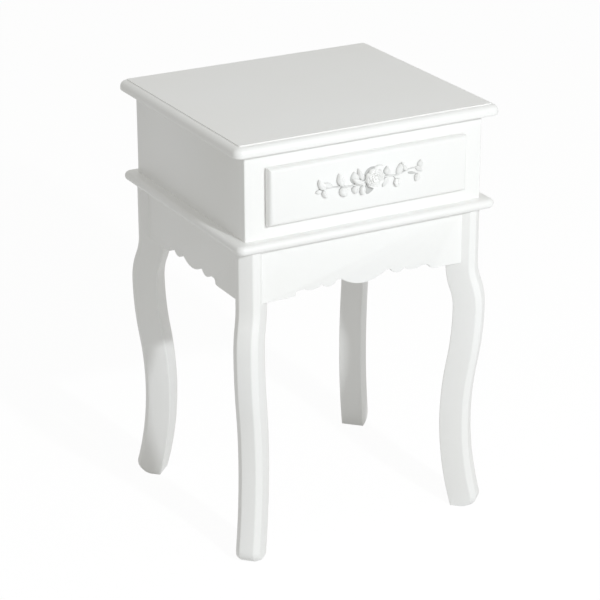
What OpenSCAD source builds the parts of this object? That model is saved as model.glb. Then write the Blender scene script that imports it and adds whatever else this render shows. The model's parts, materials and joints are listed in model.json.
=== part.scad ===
// Nightstand with one drawer on four curved legs.
// Millimetres, +Z up, front towards -Y. The origin is on the floor, at the middle of the plan.

/* [Overall] */
// Height from the floor to the top face
height = 600; // [560:1:680]
// Width of the case over its side panels
case_w = 360; // [320:1:460]
// Depth of the case, front frame to back panel
case_d = 326; // [300:1:400]
// Height of the case between the waist board and the top board
case_h = 119; // [105:1:150]

/* [Top board] */
// Thickness of the top board
top_t = 16; // [15:0.5:22]
// Overhang of the top board at each side of the case
top_over_x = 20; // [17:0.5:30]
// Overhang of the top board at the front and back of the case
top_over_y = 17; // [17:0.5:30]
// Plan radius of the top board's corners
top_corner_r = 12; // [11:0.5:16]
// Height of the small step round the flat top face
top_step_h = 1.5; // [1:0.1:2.5]
// Width of the small step round the flat top face
top_step_w = 0.7; // [0.3:0.1:1.5]
// Radius of the quarter round under the step
top_round_r = 9; // [6:0.5:9.5]
// Radius of the eased lower edge
top_ease_r = 3; // [1:0.5:4]

/* [Waist board] */
// Thickness of the waist board, which has a full bullnose edge
waist_t = 13; // [12:0.5:18]
// Overhang of the waist board all round the case
waist_over = 17; // [15:0.5:24]
// Plan radius of the waist board's corners
waist_corner_r = 11; // [10:0.5:14]

/* [Case] */
// Thickness of the side panels
side_t = 15; // [12:0.5:20]
// Thickness of the back panel
back_t = 9; // [6:0.5:12]
// Thickness of the front frame
frame_t = 18; // [14:0.5:22]
// Width of a cleat or bearer from the side panel inwards
cleat_w = 38.5; // [36:0.5:46]
// Gap between the top cleats and the drawer sides
cleat_gap = 1.5; // [1:0.1:3]

/* [Drawer front] */
// Width of the drawer front
front_w = 300; // [260:1:304]
// Height of the drawer front
front_h = 78; // [70:1:84]
// Thickness of the drawer front
front_t = 13; // [12:0.5:18]
// Height of the drawer front's lower edge above the waist board
front_rise = 19.5; // [16:0.5:24]
// Radius of the drawer front's rounded-over edges
front_edge_r = 5.5; // [2:0.5:6]
// Width by which the drawer front laps over the frame
front_lap = 8; // [6:0.5:10]
// Gap between the closed drawer front and the frame
front_gap = 0.3; // [0.2:0.1:1]

/* [Drawer box] */
// Travel of the drawer
drawer_travel = 200; // [120:1:210]
// Depth of the drawer box behind the front
box_d = 270; // [262:1:280]
// Thickness of the drawer box's sides
box_side_t = 12; // [10:0.5:15]
// Thickness of the inner front
box_front_t = 12; // [10:0.5:15]
// Thickness of the drawer box's back
box_back_t = 12; // [10:0.5:15]
// Gap between the box and the frame opening at each side and below
box_gap = 1.5; // [1:0.1:2.5]
// Gap above the box in the frame opening
box_top_gap = 4; // [3:0.1:6]
// Thickness of the bottom panel
bottom_t = 4; // [3:0.5:6]
// Height of the bottom panel above the sides' lower edge
bottom_rise = 8; // [6:0.5:10]
// Depth of the grooves that hold the bottom panel
groove_d = 6; // [4:0.5:7]
// Gap round the bottom panel in its grooves
groove_gap = 0.1; // [0.05:0.05:0.3]

/* [Runners and stop] */
// Height of the bearer under each drawer side
bearer_h = 16; // [12:0.5:20]
// Height of the guide beside each drawer side
guide_h = 14; // [12:0.5:20]
// Running gap between a drawer side and its bearer
bearer_gap = 0.3; // [0.2:0.1:1]
// Running gap between a drawer side and its guide
guide_gap = 0.8; // [0.5:0.1:1.5]
// Width of the drawer stop
stop_w = 40; // [24:1:60]
// Thickness of the drawer stop
stop_t = 14; // [12:0.5:20]
// Height by which the stop reaches below the top of the drawer back
stop_catch = 5; // [3:0.5:8]
// Gap between the stop and the drawer back at full travel
stop_gap = 0.5; // [0.3:0.1:1]

/* [Aprons] */
// Height of the aprons from the waist board to their lowest line
apron_h = 77.5; // [70:0.5:90]
// Thickness of the aprons
apron_t = 15; // [12:0.5:15]
// Setback of the aprons behind the case faces
apron_set = 2; // [1:0.5:3]
// Width of the middle lobe at the front and back
front_lobe_w = 68; // [50:1:76]
// Distance from the middle to the inner bumps at the front and back
front_bump_x = 53.5; // [50:0.5:56]
// Distance from the middle to the outer bumps at the front and back
front_outer_x = 79; // [76:0.5:82]
// Distance from the middle to the straight ends at the front and back
front_end_x = 104; // [100:0.5:110]
// Width of the middle lobe at the sides
side_lobe_w = 52; // [44:1:58]
// Distance from the middle to the bumps at the sides
side_bump_x = 43; // [40:0.5:46]
// Distance from the middle to the straight ends at the sides
side_end_x = 70; // [66:0.5:76]
// Width of a bump
bump_w = 24; // [18:0.5:24]
// Height of the notches beside the front middle lobe above the lowest line
front_notch_h = 11.5; // [8:0.5:14]
// Height of the notches beside the side middle lobes above the lowest line
side_notch_h = 8; // [7:0.5:11]
// Height of the outer notches above the lowest line
outer_notch_h = 7.5; // [6:0.5:8]
// Height of the front and back bumps' lowest points above the lowest line
bump_rise = 4.5; // [3:0.5:5]
// Height of the side bumps' lowest points above the lowest line
side_bump_rise = 2; // [1:0.5:5]

/* [Legs] */
// Thickness of a leg across its diagonal
leg_t = 34; // [30:0.5:36]
// Depth of a leg along its diagonal
leg_w = 40; // [36:0.5:44]
// Distance from the corner of the case to the leg's outer face at the top
leg_set = 1.5; // [1:0.5:3]
// Width of the bevels along the outer edges of a leg, measured on its faces
leg_edge_r = 7; // [4:0.5:12]
// Height at which the leg's straight neck ends
neck_z = 372; // [366:1:378]
// Height of the knee, where the leg is furthest out
knee_z = 307; // [300:1:312]
// Height of the ankle, where the leg is furthest in
ankle_z = 136; // [125:1:150]
// Distance that the knee swings out from the neck
knee_out = 11.8; // [8:0.2:14]
// Distance that the ankle swings in from the knee
ankle_in = 15.3; // [12:0.1:18]
// Radius of the rounded toe
toe_r = 15; // [10:0.5:18]

/* [Corner blocks and bolts] */
// Thickness of a corner block behind its leg
block_t = 30; // [26:0.5:34]
// Height of a corner block
block_h = 45; // [40:1:50]
// Diameter of the leg bolts
bolt_d = 6; // [5:0.5:8]
// Length of a leg bolt inside the leg
bolt_in_leg = 28; // [20:1:30]
// Length of a leg bolt that shows behind its nut
bolt_tail = 5; // [2:0.5:8]
// Diameter of the washers
washer_d = 18; // [15:0.5:22]
// Thickness of the washers
washer_t = 1.6; // [1:0.1:2.5]
// Width of a nut across its flats
nut_af = 10; // [9:0.5:13]
// Height of a nut
nut_h = 5; // [4:0.5:8]

/* [Screws and dowels] */
// Shank diameter of the screws
screw_d = 4; // [3:0.1:5]
// Head diameter of the screws
head_d = 8; // [6:0.1:9]
// Height of the screw heads' cones
head_h = 2.6; // [2:0.1:3.5]
// Depth that the long screws reach into the board above them
screw_bite = 10; // [6:0.5:11]
// Depth of the counterbores in the cleats, blocks and stop
counterbore = 12; // [8:0.5:16]
// Length of the screws from the waist board into the case sides
waist_screw_l = 40; // [30:1:50]
// Length of the screws through the back panel
short_screw_l = 30; // [26:1:32]
// Depth that the runner screws reach into the side panels
runner_screw_bite = 6.3; // [5:0.1:9]
// Length of the drawer front's screws
front_screw_l = 20; // [18:0.5:23]
// Distance from the middle of the depth to the screws in the top and the case sides
screw_y = 100; // [80:1:115]
// Distance from the middle of the depth to the runner screws
runner_screw_y = 75; // [50:1:78]
// Distance from the middle of the width to the drawer front's screws
front_screw_x = 90; // [60:1:95]
// Diameter of the dowels
dowel_d = 6; // [5:0.5:8]
// Length of the dowels
dowel_l = 24; // [20:1:26]
// Length of a drawer dowel inside the drawer side
dowel_in_side = 8; // [6:0.5:9]
// Least wood left in a stile beyond its dowels
dowel_wall = 2; // [1:0.5:4]
// Distance from the drawer dowels to the box's top edge and to its bottom panel
dowel_rise = 10; // [8:0.5:12]
// Gap round pins, screws and dowels in their holes
hole_gap = 0.05; // [0.02:0.01:0.1]

/* [Carving] */
// Relief of the carving's leaves along their ribs
leaf_h = 6; // [2:0.5:8]
// Relief of the carving's leaves at their edges
leaf_edge_h = 2; // [0.5:0.1:2]
// Relief of the carving's stems
stem_h = 2.5; // [1.5:0.5:3]
// Width of the carving's stems
stem_w = 2.2; // [1.5:0.1:3]
// Radius of the bud beside the rose
bud_r = 6; // [5:0.5:7]
// Radius of the rose
rose_r = 14; // [11:0.5:16]
// Relief of the rose
rose_h = 9.5; // [5:0.5:12]
// Distance from the middle of the drawer front to the rose
rose_x = 4; // [0:0.5:8]

/* [Hidden] */
$fn = 96;
// Small length by which cutters pass through a face
cut = 1;

// Half sizes of the case, and the heights of its boards
hx = case_w / 2;
hy = case_d / 2;
case_top_z = height - top_t;
waist_z = case_top_z - case_h;
under_z = waist_z - waist_t;
apron_z = under_z - apron_h;

// Inside of the case
inner_x = hx - side_t;
frame_back_y = -hy + frame_t;
back_face_y = hy - back_t;

// Drawer front and the opening behind it
front_z0 = waist_z + front_rise;
front_z1 = front_z0 + front_h;
front_back_y = -hy - front_gap;
front_face_y = front_back_y - front_t;
open_x = front_w / 2 - front_lap;
open_z0 = front_z0 + front_lap;
open_z1 = front_z1 - front_lap;

// Drawer box
box_x = open_x - box_gap;
box_in_x = box_x - box_side_t;
box_z0 = open_z0 + box_gap;
box_z1 = open_z1 - box_top_gap;
box_back_y = front_back_y + box_d;
box_back_face_y = box_back_y - box_back_t;
box_front_face_y = front_back_y + box_front_t;
bottom_z = box_z0 + bottom_rise;
dowel_low_z = bottom_z + bottom_t + dowel_rise;
dowel_high_z = box_z1 - dowel_rise;

// Runners, cleats and stop
bearer_z = box_z0 - bearer_gap;
cleat_z = box_z1 + cleat_gap;
guide_x = box_x + guide_gap;
guide_screw_z = bearer_z + guide_h / 2;
runner_screw_l = inner_x - guide_x + runner_screw_bite;
stop_y = box_back_face_y - drawer_travel - stop_gap - stop_t;
stop_z = box_z1 - stop_catch;
cleat_screw_x = inner_x - cleat_w * 0.4;

// Legs, in a plane along the diagonal: w runs inwards from the case corner, z upwards.
// Each swing is two equal arcs, so its angle and its radius come from its height and width.
function swing_angle(tall, wide) = 2 * atan(wide / tall);
function swing_radius(tall, wide) = tall / (2 * sin(swing_angle(tall, wide)));
neck_w = leg_set + leg_w / 2;
knee_w = neck_w - knee_out;
ankle_w = knee_w + ankle_in;
upper_a = swing_angle(neck_z - knee_z, knee_out);
upper_r = swing_radius(neck_z - knee_z, knee_out);
lower_a = swing_angle(knee_z - ankle_z, ankle_in);
lower_r = swing_radius(knee_z - ankle_z, ankle_in);
foot_c = [ankle_w - lower_r, ankle_z];
// The round toe touches the leg's outer face and the floor
toe_c = [foot_c[0] + sqrt(pow(lower_r - leg_w / 2 + toe_r, 2) - pow(ankle_z - toe_r, 2)), toe_r];
toe_a = asin((ankle_z - toe_r) / (lower_r - leg_w / 2 + toe_r));
heel_a = asin(ankle_z / (lower_r + leg_w / 2));
leg_in_w = leg_set + leg_w;

// Corner blocks and bolts: w as above, t across the diagonal
block_out_w = leg_in_w + block_t;
block_z0 = under_z - block_h;
block_screw_w = leg_in_w + block_t / 2;
block_screw_t = leg_t / 2 + 7;
bolt_z = under_z - block_h / 2;
nut_w = block_out_w + washer_t;

// Fastener lengths
cleat_screw_l = case_top_z - cleat_z - counterbore + screw_bite;
block_screw_l = block_h - counterbore + screw_bite;
stop_screw_l = case_top_z - stop_z - counterbore + screw_bite;

SIDES = [-1, 1];

module paint() { color([0.93, 0.93, 0.92]) children(); }
module timber() { color([0.80, 0.66, 0.47]) children(); }
module steel() { color([0.70, 0.71, 0.73]) children(); }

// A box from one corner to the other
module block_from(low, high) { translate(low) cube(high - low); }

// Screws, dowels and their holes

// A screw along +Z with its flat head face at z = 0
module screw(length) {
  cylinder(d1 = head_d, d2 = screw_d, h = head_h);
  cylinder(d = screw_d, h = length);
}

// The hole for that screw, with a counterbore of the given depth below the head
module screw_hole(length, bore = cut) {
  translate([0, 0, -bore]) cylinder(d = head_d + 2 * hole_gap, h = bore + hole_gap);
  cylinder(d1 = head_d + 2 * hole_gap, d2 = screw_d + 2 * hole_gap, h = head_h + hole_gap);
  cylinder(d = screw_d + 2 * hole_gap, h = length + hole_gap);
}

// Two dowels or their holes lie along X, from x0 to x1
module along_x(x0, x1, d) { translate([x0, 0, 0]) rotate([0, 90, 0]) cylinder(d = d, h = x1 - x0); }

// Places: children are drawn at each place that a fastener has
module at_top_screws(side) {
  for (k = SIDES) translate([side * cleat_screw_x, k * screw_y, cleat_z + counterbore]) children();
}
module at_waist_screws(side) {
  for (k = SIDES) translate([side * (hx - side_t / 2), k * screw_y, under_z]) children();
}
module at_runner_screws(side) {
  for (k = SIDES)
    translate([side * guide_x, k * runner_screw_y, guide_screw_z]) rotate([0, side * 90, 0]) children();
}
module at_back_screws() {
  for (side = SIDES)
    for (z = [cleat_z + (case_top_z - cleat_z) / 2, bearer_z - bearer_h / 2])
      translate([side * cleat_screw_x, hy, z]) rotate([90, 0, 0]) children();
}
module at_front_screws() {
  for (side = SIDES)
    for (z = [dowel_low_z, dowel_high_z])
      translate([side * front_screw_x, box_front_face_y, z]) rotate([90, 0, 0]) children();
}
module at_stop_screw() { translate([0, stop_y + stop_t / 2, stop_z + counterbore]) children(); }

// A corner frame: +X points inwards along the diagonal of the corner at (sx, sy)
module at_corner(sx, sy) { translate([sx * hx, sy * hy, 0]) rotate([0, 0, atan2(-sy, -sx)]) children(); }
module at_block_screws() {
  for (k = SIDES) translate([block_screw_w, k * block_screw_t, block_z0 + counterbore]) children();
}
module along_bolt(w0, w1, d) { translate([0, 0, bolt_z]) along_x(w0, w1, d); }

// Top board

// Edge section: x from the corner's centre outwards, y upwards from the underside
module top_edge_section() {
  inner = top_corner_r - top_round_r - top_step_w;
  round_z = top_t - top_step_h - top_round_r;
  square([inner, top_t]);
  square([top_corner_r - top_round_r, top_t - top_step_h]);
  square([top_corner_r - top_ease_r, round_z]);
  translate([0, top_ease_r]) square([top_corner_r, round_z - top_ease_r]);
  intersection() {
    translate([top_corner_r - top_round_r, round_z]) circle(top_round_r);
    translate([0, round_z - cut / 2]) square([top_corner_r, top_t]);
  }
  translate([top_corner_r - top_ease_r, top_ease_r]) circle(top_ease_r);
}

// Edge section of the waist board: a full bullnose
module waist_edge_section() {
  square([waist_corner_r - waist_t / 2, waist_t]);
  translate([waist_corner_r - waist_t / 2, waist_t / 2]) intersection() {
    circle(waist_t / 2);
    translate([-cut / 2, -waist_t]) square([waist_t, 2 * waist_t]);
  }
}

// A board with a moulded edge all round: half sizes x and y, corner radius r, thickness t.
// The child is its edge section.
module moulded_board(x, y, r, t) {
  block_from([-x + r, -y + r, 0], [x - r, y - r, t]);
  for (k = SIDES) {
    translate([k * (x - r), 0, 0]) rotate([90, 0, k > 0 ? 0 : 180])
      linear_extrude(2 * (y - r), center = true) children();
    translate([0, k * (y - r), 0]) rotate([90, 0, k * 90])
      linear_extrude(2 * (x - r), center = true) children();
  }
  for (sx = SIDES)
    for (sy = SIDES)
      translate([sx * (x - r), sy * (y - r), 0]) rotate([0, 0, atan2(sy, sx) - 45]) rotate_extrude(angle = 90)
        children();
}

module top_board() {
  paint() difference() {
    translate([0, 0, case_top_z])
      moulded_board(hx + top_over_x, hy + top_over_y, top_corner_r, top_t) top_edge_section();
    for (side = SIDES) at_top_screws(side) screw_hole(cleat_screw_l, 0);
    at_stop_screw() screw_hole(stop_screw_l, 0);
  }
}

module waist_board() {
  paint() difference() {
    translate([0, 0, under_z])
      moulded_board(hx + waist_over, hy + waist_over, waist_corner_r, waist_t) waist_edge_section();
    for (side = SIDES) at_waist_screws(side) screw_hole(waist_screw_l);
    for (sx = SIDES)
      for (sy = SIDES)
        at_corner(sx, sy) at_block_screws() screw_hole(block_screw_l, 0);
  }
}

// Case

module case_side(side) {
  paint() difference() {
    block_from([side > 0 ? inner_x : -hx, -hy, waist_z], [side > 0 ? hx : -inner_x, hy, case_top_z]);
    at_waist_screws(side) screw_hole(waist_screw_l);
    at_runner_screws(side) screw_hole(runner_screw_l);
  }
}

module case_back() {
  paint() difference() {
    block_from([-inner_x, back_face_y, waist_z], [inner_x, hy, case_top_z]);
    at_back_screws() screw_hole(short_screw_l);
  }
}

rail_mid_z = [waist_z + (open_z0 - waist_z) / 2, open_z1 + (case_top_z - open_z1) / 2];
frame_mid_y = -hy + frame_t / 2;
dowel_in_stile = min(dowel_l / 2, inner_x - open_x - dowel_wall);

module at_frame_dowels(side) {
  for (z = rail_mid_z)
    for (k = SIDES)
      translate([side * open_x, frame_mid_y, z + k * dowel_d]) mirror([side > 0 ? 0 : 1, 0, 0]) children();
}
module frame_dowel(d, spare) {
  along_x(dowel_in_stile - dowel_l - spare, dowel_in_stile + spare, d);
}

module front_stile(side) {
  paint() difference() {
    block_from([side > 0 ? open_x : -inner_x, -hy, waist_z],
               [side > 0 ? inner_x : -open_x, frame_back_y, case_top_z]);
    at_frame_dowels(side) frame_dowel(dowel_d + 2 * hole_gap, hole_gap);
  }
}

module front_rail(z0, z1) {
  paint() difference() {
    block_from([-open_x, -hy, z0], [open_x, frame_back_y, z1]);
    for (side = SIDES) at_frame_dowels(side) frame_dowel(dowel_d + 2 * hole_gap, hole_gap);
  }
}

module frame_dowels() { timber() for (side = SIDES) at_frame_dowels(side) frame_dowel(dowel_d, 0); }

module cleat(side) {
  x0 = side > 0 ? inner_x - cleat_w : -inner_x;
  timber() difference() {
    block_from([x0, frame_back_y, cleat_z], [x0 + cleat_w, back_face_y, case_top_z]);
    at_top_screws(side) screw_hole(cleat_screw_l, counterbore + cut);
    at_back_screws() screw_hole(short_screw_l);
  }
}

module runner(side) {
  x0 = side > 0 ? inner_x - cleat_w : -inner_x;
  timber() difference() {
    union() {
      block_from([x0, frame_back_y, bearer_z - bearer_h], [x0 + cleat_w, back_face_y, bearer_z]);
      block_from([side > 0 ? guide_x : -inner_x, frame_back_y, bearer_z - cut],
                 [side > 0 ? inner_x : -guide_x, back_face_y, bearer_z + guide_h]);
    }
    at_runner_screws(side) screw_hole(runner_screw_l);
    at_back_screws() screw_hole(short_screw_l);
  }
}

module drawer_stop() {
  timber() difference() {
    block_from([-stop_w / 2, stop_y, stop_z], [stop_w / 2, stop_y + stop_t, case_top_z]);
    at_stop_screw() screw_hole(stop_screw_l, counterbore + cut);
  }
}

// Aprons

// Radius of an arc from its chord and its sag
function sag_r(chord, sag) = (pow(chord / 2, 2) + sag * sag) / (2 * sag);

// The disc of a lobe that hangs from y = root down to y = low, centred at x
module lobe(x, wide, root, low) {
  r = sag_r(wide, root - low);
  translate([x, low + r]) circle(r);
}

// Scalloped face of an apron, with y = 0 at its lowest line. Bumps lists each bump's distance
// from the middle, the height of its root and its low; the outer notches lie beyond the last one.
module apron_face(half, lobe_w, notch_h, bumps, end_x) {
  last_x = bumps[len(bumps) - 1][0];
  translate([-half, notch_h]) square([2 * half, apron_h - notch_h]);
  intersection() {
    union() {
      lobe(0, lobe_w, notch_h, 0);
      for (k = SIDES) for (b = bumps) lobe(k * b[0], bump_w, b[1], b[2]);
    }
    translate([-half, -cut]) square([2 * half, notch_h + 2 * cut]);
  }
  for (k = SIDES) mirror([k > 0 ? 0 : 1, 0]) {
    translate([last_x, outer_notch_h]) square([half - last_x, notch_h - outer_notch_h + cut]);
    translate([end_x, 0]) square([half - end_x, outer_notch_h + cut]);
  }
}

module front_face() {
  apron_face(hx, front_lobe_w, front_notch_h,
             [[front_bump_x, front_notch_h, bump_rise], [front_outer_x, outer_notch_h, bump_rise]],
             front_end_x);
}

module side_face() {
  apron_face(hy, side_lobe_w, side_notch_h, [[side_bump_x, side_notch_h, side_bump_rise]], side_end_x);
}

// An apron on the side that the angle turns the front to; out is the case face's distance.
// The flat sides of the legs cut its ends to mitres. The child is its scalloped face.
module apron(angle, out) {
  paint() difference() {
    rotate([0, 0, angle]) translate([0, -out + apron_set + apron_t, apron_z])
      rotate([90, 0, 0]) linear_extrude(apron_t) children();
    for (sx = SIDES)
      for (sy = SIDES)
        at_corner(sx, sy)
          block_from([-leg_w, -leg_t / 2, apron_z - cut], [2 * leg_w, leg_t / 2, under_z + cut]);
  }
}

// Legs

// A point on an arc about a centre
function on_arc(centre, r, a) = centre + r * [cos(a), sin(a)];
// Values from a to b in a number of steps
function steps(a, b, n) = [for (i = [0:n]) a + (b - a) * i / n];

// The leg's outline as pairs of an outer and an inner point [w, z], from the top downwards.
// Each bend's own angle is its lean outwards, and the toe's pairs go round its circle.
function bend(centre, r, side, leans) =
  [for (a = leans) let (polar = (side > 0 ? 0 : 180) - a)
     [on_arc(centre, r - side * leg_w / 2, polar), on_arc(centre, r + side * leg_w / 2, polar)]];
leg_pairs = concat(
  [[[leg_set, under_z], [leg_in_w, under_z]]],
  bend([neck_w - upper_r, neck_z], upper_r, 1, steps(0, upper_a, 4)),
  bend([knee_w + upper_r, knee_z], upper_r, -1, steps(upper_a * 0.75, 0, 3)),
  bend([knee_w + lower_r, knee_z], lower_r, -1, steps(-lower_a / 6, -lower_a, 5)),
  bend(foot_c, lower_r, 1, steps(-lower_a * 5 / 6, toe_a, 14)),
  [for (i = [1:7]) [on_arc(toe_c, toe_r, 180 - toe_a + (90 + toe_a) * i / 7),
                    on_arc(foot_c, lower_r + leg_w / 2, -toe_a - (heel_a - toe_a) * i / 7)]]);

// One ring of the leg between an outer and an inner point, with bevelled outer edges
function leg_ring(pair) =
  let (o = pair[0], run = pair[1] - pair[0], u = run / norm(run), r = leg_edge_r, e = leg_t / 2)
  [for (p = [[norm(run), -e], [r, -e], [0, r - e], [0, e - r], [r, e], [norm(run), e]])
     [o[0] + u[0] * p[0], p[1], o[1] + u[1] * p[0]]];

module leg_shape() {
  n = len(leg_ring(leg_pairs[0]));
  rings = len(leg_pairs);
  sides = [for (j = [0:rings - 2]) for (i = [0:n - 1]) let (k = (i + 1) % n)
             each [[j * n + i, j * n + n + i, j * n + k], [j * n + k, j * n + n + i, j * n + n + k]]];
  top = [for (i = [0:n - 1]) i];
  sole = [for (i = [n - 1:-1:0]) (rings - 1) * n + i];
  polyhedron([for (pair = leg_pairs) each leg_ring(pair)], concat([top], sides, [sole]));
}

module leg(sx, sy) {
  paint() at_corner(sx, sy) difference() {
    leg_shape();
    along_bolt(leg_in_w - bolt_in_leg, leg_in_w + cut, bolt_d + 2 * hole_gap);
  }
}

// Half width of a corner block at w, where it touches the aprons' inner faces
function block_half(w) = w - (apron_set + apron_t) * sqrt(2);

module corner_block(sx, sy) {
  timber() at_corner(sx, sy) difference() {
    translate([0, 0, block_z0]) linear_extrude(block_h)
      polygon([[leg_in_w, -block_half(leg_in_w)], [block_out_w, -block_half(block_out_w)],
               [block_out_w, block_half(block_out_w)], [leg_in_w, block_half(leg_in_w)]]);
    along_bolt(leg_in_w - cut, block_out_w + cut, bolt_d + 2 * hole_gap);
    at_block_screws() screw_hole(block_screw_l, counterbore + cut);
  }
}

module at_corners() { for (sx = SIDES) for (sy = SIDES) at_corner(sx, sy) children(); }

module leg_bolts() {
  steel() at_corners() along_bolt(leg_in_w - bolt_in_leg, nut_w + nut_h + bolt_tail, bolt_d);
}

module leg_washers() {
  steel() at_corners() difference() {
    along_bolt(block_out_w, nut_w, washer_d);
    along_bolt(block_out_w - cut, nut_w + cut, bolt_d + 2 * hole_gap);
  }
}

module leg_nuts() {
  steel() at_corners() difference() {
    along_bolt(nut_w, nut_w + nut_h, nut_af / cos(30), $fn = 6);
    along_bolt(nut_w - cut, nut_w + nut_h + cut, bolt_d + 2 * hole_gap);
  }
}

// Screws

module top_screws() { steel() for (side = SIDES) at_top_screws(side) screw(cleat_screw_l); }
module waist_screws() { steel() for (side = SIDES) at_waist_screws(side) screw(waist_screw_l); }
module runner_screws() { steel() for (side = SIDES) at_runner_screws(side) screw(runner_screw_l); }
module block_screws() { steel() at_corners() at_block_screws() screw(block_screw_l); }
module back_screws() { steel() at_back_screws() screw(short_screw_l); }
module stop_screw() { steel() at_stop_screw() screw(stop_screw_l); }
module front_screws() { steel() at_front_screws() screw(front_screw_l); }

// Drawer

// Section of the drawer front: x across, y from its face backwards
module front_section(half) {
  translate([-half, front_edge_r]) square([2 * half, front_t - front_edge_r]);
  translate([-half + front_edge_r, 0]) square([2 * (half - front_edge_r), front_t / 2]);
  for (k = SIDES) translate([k * (half - front_edge_r), front_edge_r]) circle(front_edge_r);
}

module drawer_front() {
  paint() difference() {
    intersection() {
      translate([0, front_face_y, front_z0]) linear_extrude(front_h) front_section(front_w / 2);
      translate([0, front_face_y, front_z0 + front_h / 2]) rotate([0, -90, 0])
        linear_extrude(front_w, center = true) front_section(front_h / 2);
    }
    at_front_screws() screw_hole(front_screw_l, 0);
  }
}

module groove() {
  block_from([-box_in_x - groove_d, box_front_face_y - groove_d, bottom_z],
             [box_in_x + groove_d, box_back_face_y + groove_d, bottom_z + bottom_t + groove_gap]);
}

module at_drawer_dowels(side) {
  for (y = [front_back_y + box_front_t / 2, box_back_y - box_back_t / 2])
    for (z = [dowel_low_z, dowel_high_z]) translate([0, y, z]) mirror([side > 0 ? 0 : 1, 0, 0]) children();
}
module drawer_dowel(d, spare) {
  along_x(box_in_x + dowel_in_side - dowel_l - spare, box_in_x + dowel_in_side + spare, d);
}
module drawer_dowel_holes() {
  for (side = SIDES) at_drawer_dowels(side) drawer_dowel(dowel_d + 2 * hole_gap, hole_gap);
}

module drawer_inner_front() {
  timber() difference() {
    block_from([-box_in_x, front_back_y, box_z0], [box_in_x, box_front_face_y, box_z1]);
    groove();
    drawer_dowel_holes();
    at_front_screws() screw_hole(front_screw_l);
  }
}

module drawer_back() {
  timber() difference() {
    block_from([-box_in_x, box_back_face_y, box_z0], [box_in_x, box_back_y, box_z1]);
    groove();
    drawer_dowel_holes();
  }
}

module drawer_side(side) {
  timber() difference() {
    block_from([side > 0 ? box_in_x : -box_x, front_back_y, box_z0],
               [side > 0 ? box_x : -box_in_x, box_back_y, box_z1]);
    groove();
    drawer_dowel_holes();
  }
}

module drawer_bottom() {
  reach = groove_d - groove_gap;
  timber() block_from([-box_in_x - reach, box_front_face_y - reach, bottom_z],
                      [box_in_x + reach, box_back_face_y + reach, bottom_z + bottom_t]);
}

module drawer_dowels() { timber() for (side = SIDES) at_drawer_dowels(side) drawer_dowel(dowel_d, 0); }

// Carving: x across the drawer front and y up, from its middle

rose_at = [rose_x, 2];
bud_at = [37.5, -8.5];
// Points of the main stem
STEM = [[-80, -1.5], [-75, 0], [-60, -1], [-45, 0], [-30, -2], [-16, 1], rose_at,
        [25, 3], [36, 2], [48, 4], [58, 7], [71, 9]];
// Leaves: foot x, foot y, length, width, direction
LEAVES = [[-75, 0, 17.5, 7, 113], [-75, -1, 11, 5, 184], [-76, -1, 12, 6, -54], [-57, -1, 19, 6, 150],
          [-45, 0, 20, 8, 108], [-49, 0, 15.5, 9, -66], [-17, 0, 24, 11, 130], [-14, 2, 19.5, 7, 113],
          [-27, -2, 10.5, 6, -107], [-13, 1, 17, 7, -106], [1, -4, 16, 9, -142], [-10, 12, 28, 7, 18],
          [20, 3, 15, 7, 80], [24, 3, 15, 7, -120], [35, 2, 17.5, 7, 69], [49, 4, 13, 6, 115], [57, 6, 16.5, 7, -64],
          [69, 8, 10.5, 6, 72], [68, 8, 14.5, 7, -39]];
// Rings of petals: number, distance out, radius and relief as shares of the rose's own, first turn
PETALS = [[5, 0.56, 0.44, 0.55, 18], [4, 0.32, 0.36, 0.8, 40], [1, 0, 0.22, 1, 0]];

// A leaf along +X from its foot, with a raised rib
module leaf(length, wide) {
  hull() {
    linear_extrude(leaf_edge_h)
      polygon([[0, 0], [length * 0.25, -wide * 0.4], [length * 0.5, -wide / 2], [length * 0.8, -wide * 0.25],
               [length, 0], [length * 0.8, wide * 0.25], [length * 0.5, wide / 2], [length * 0.25, wide * 0.4]]);
    translate([length * 0.2, -stem_w / 8, 0]) cube([length * 0.55, stem_w / 4, leaf_h]);
  }
}

module stem_piece(a, b) {
  hull() for (end = [a, b]) translate(end) cylinder(d = stem_w, h = stem_h, $fn = 8);
}

// A petal or a bud whose face slopes down from its inner half, which lies at the distance given
module petal(out, r, h) {
  hull() {
    translate([out, 0, 0]) cylinder(r = r, h = h / 2, $fn = 16);
    translate([out * 0.7, 0, 0]) cylinder(r = r * 0.6, h = h, $fn = 12);
  }
}

module rose() {
  for (ring = PETALS)
    for (i = [1:ring[0]])
      rotate([0, 0, ring[4] + i * 360 / ring[0]])
        petal(rose_r * ring[1], rose_r * ring[2], rose_h * ring[3]);
}

module rose_garland() {
  paint() translate([0, front_face_y, front_z0 + front_h / 2]) rotate([90, 0, 0]) {
    for (i = [1:len(STEM) - 1]) stem_piece(STEM[i - 1], STEM[i]);
    for (l = LEAVES) translate([l[0], l[1], 0]) rotate([0, 0, l[4]]) leaf(l[2], l[3]);
    stem_piece(bud_at, [bud_at[0], 2]);
    translate(bud_at) petal(0, bud_r, leaf_h + 1);
    translate(rose_at) rose();
  }
}

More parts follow.
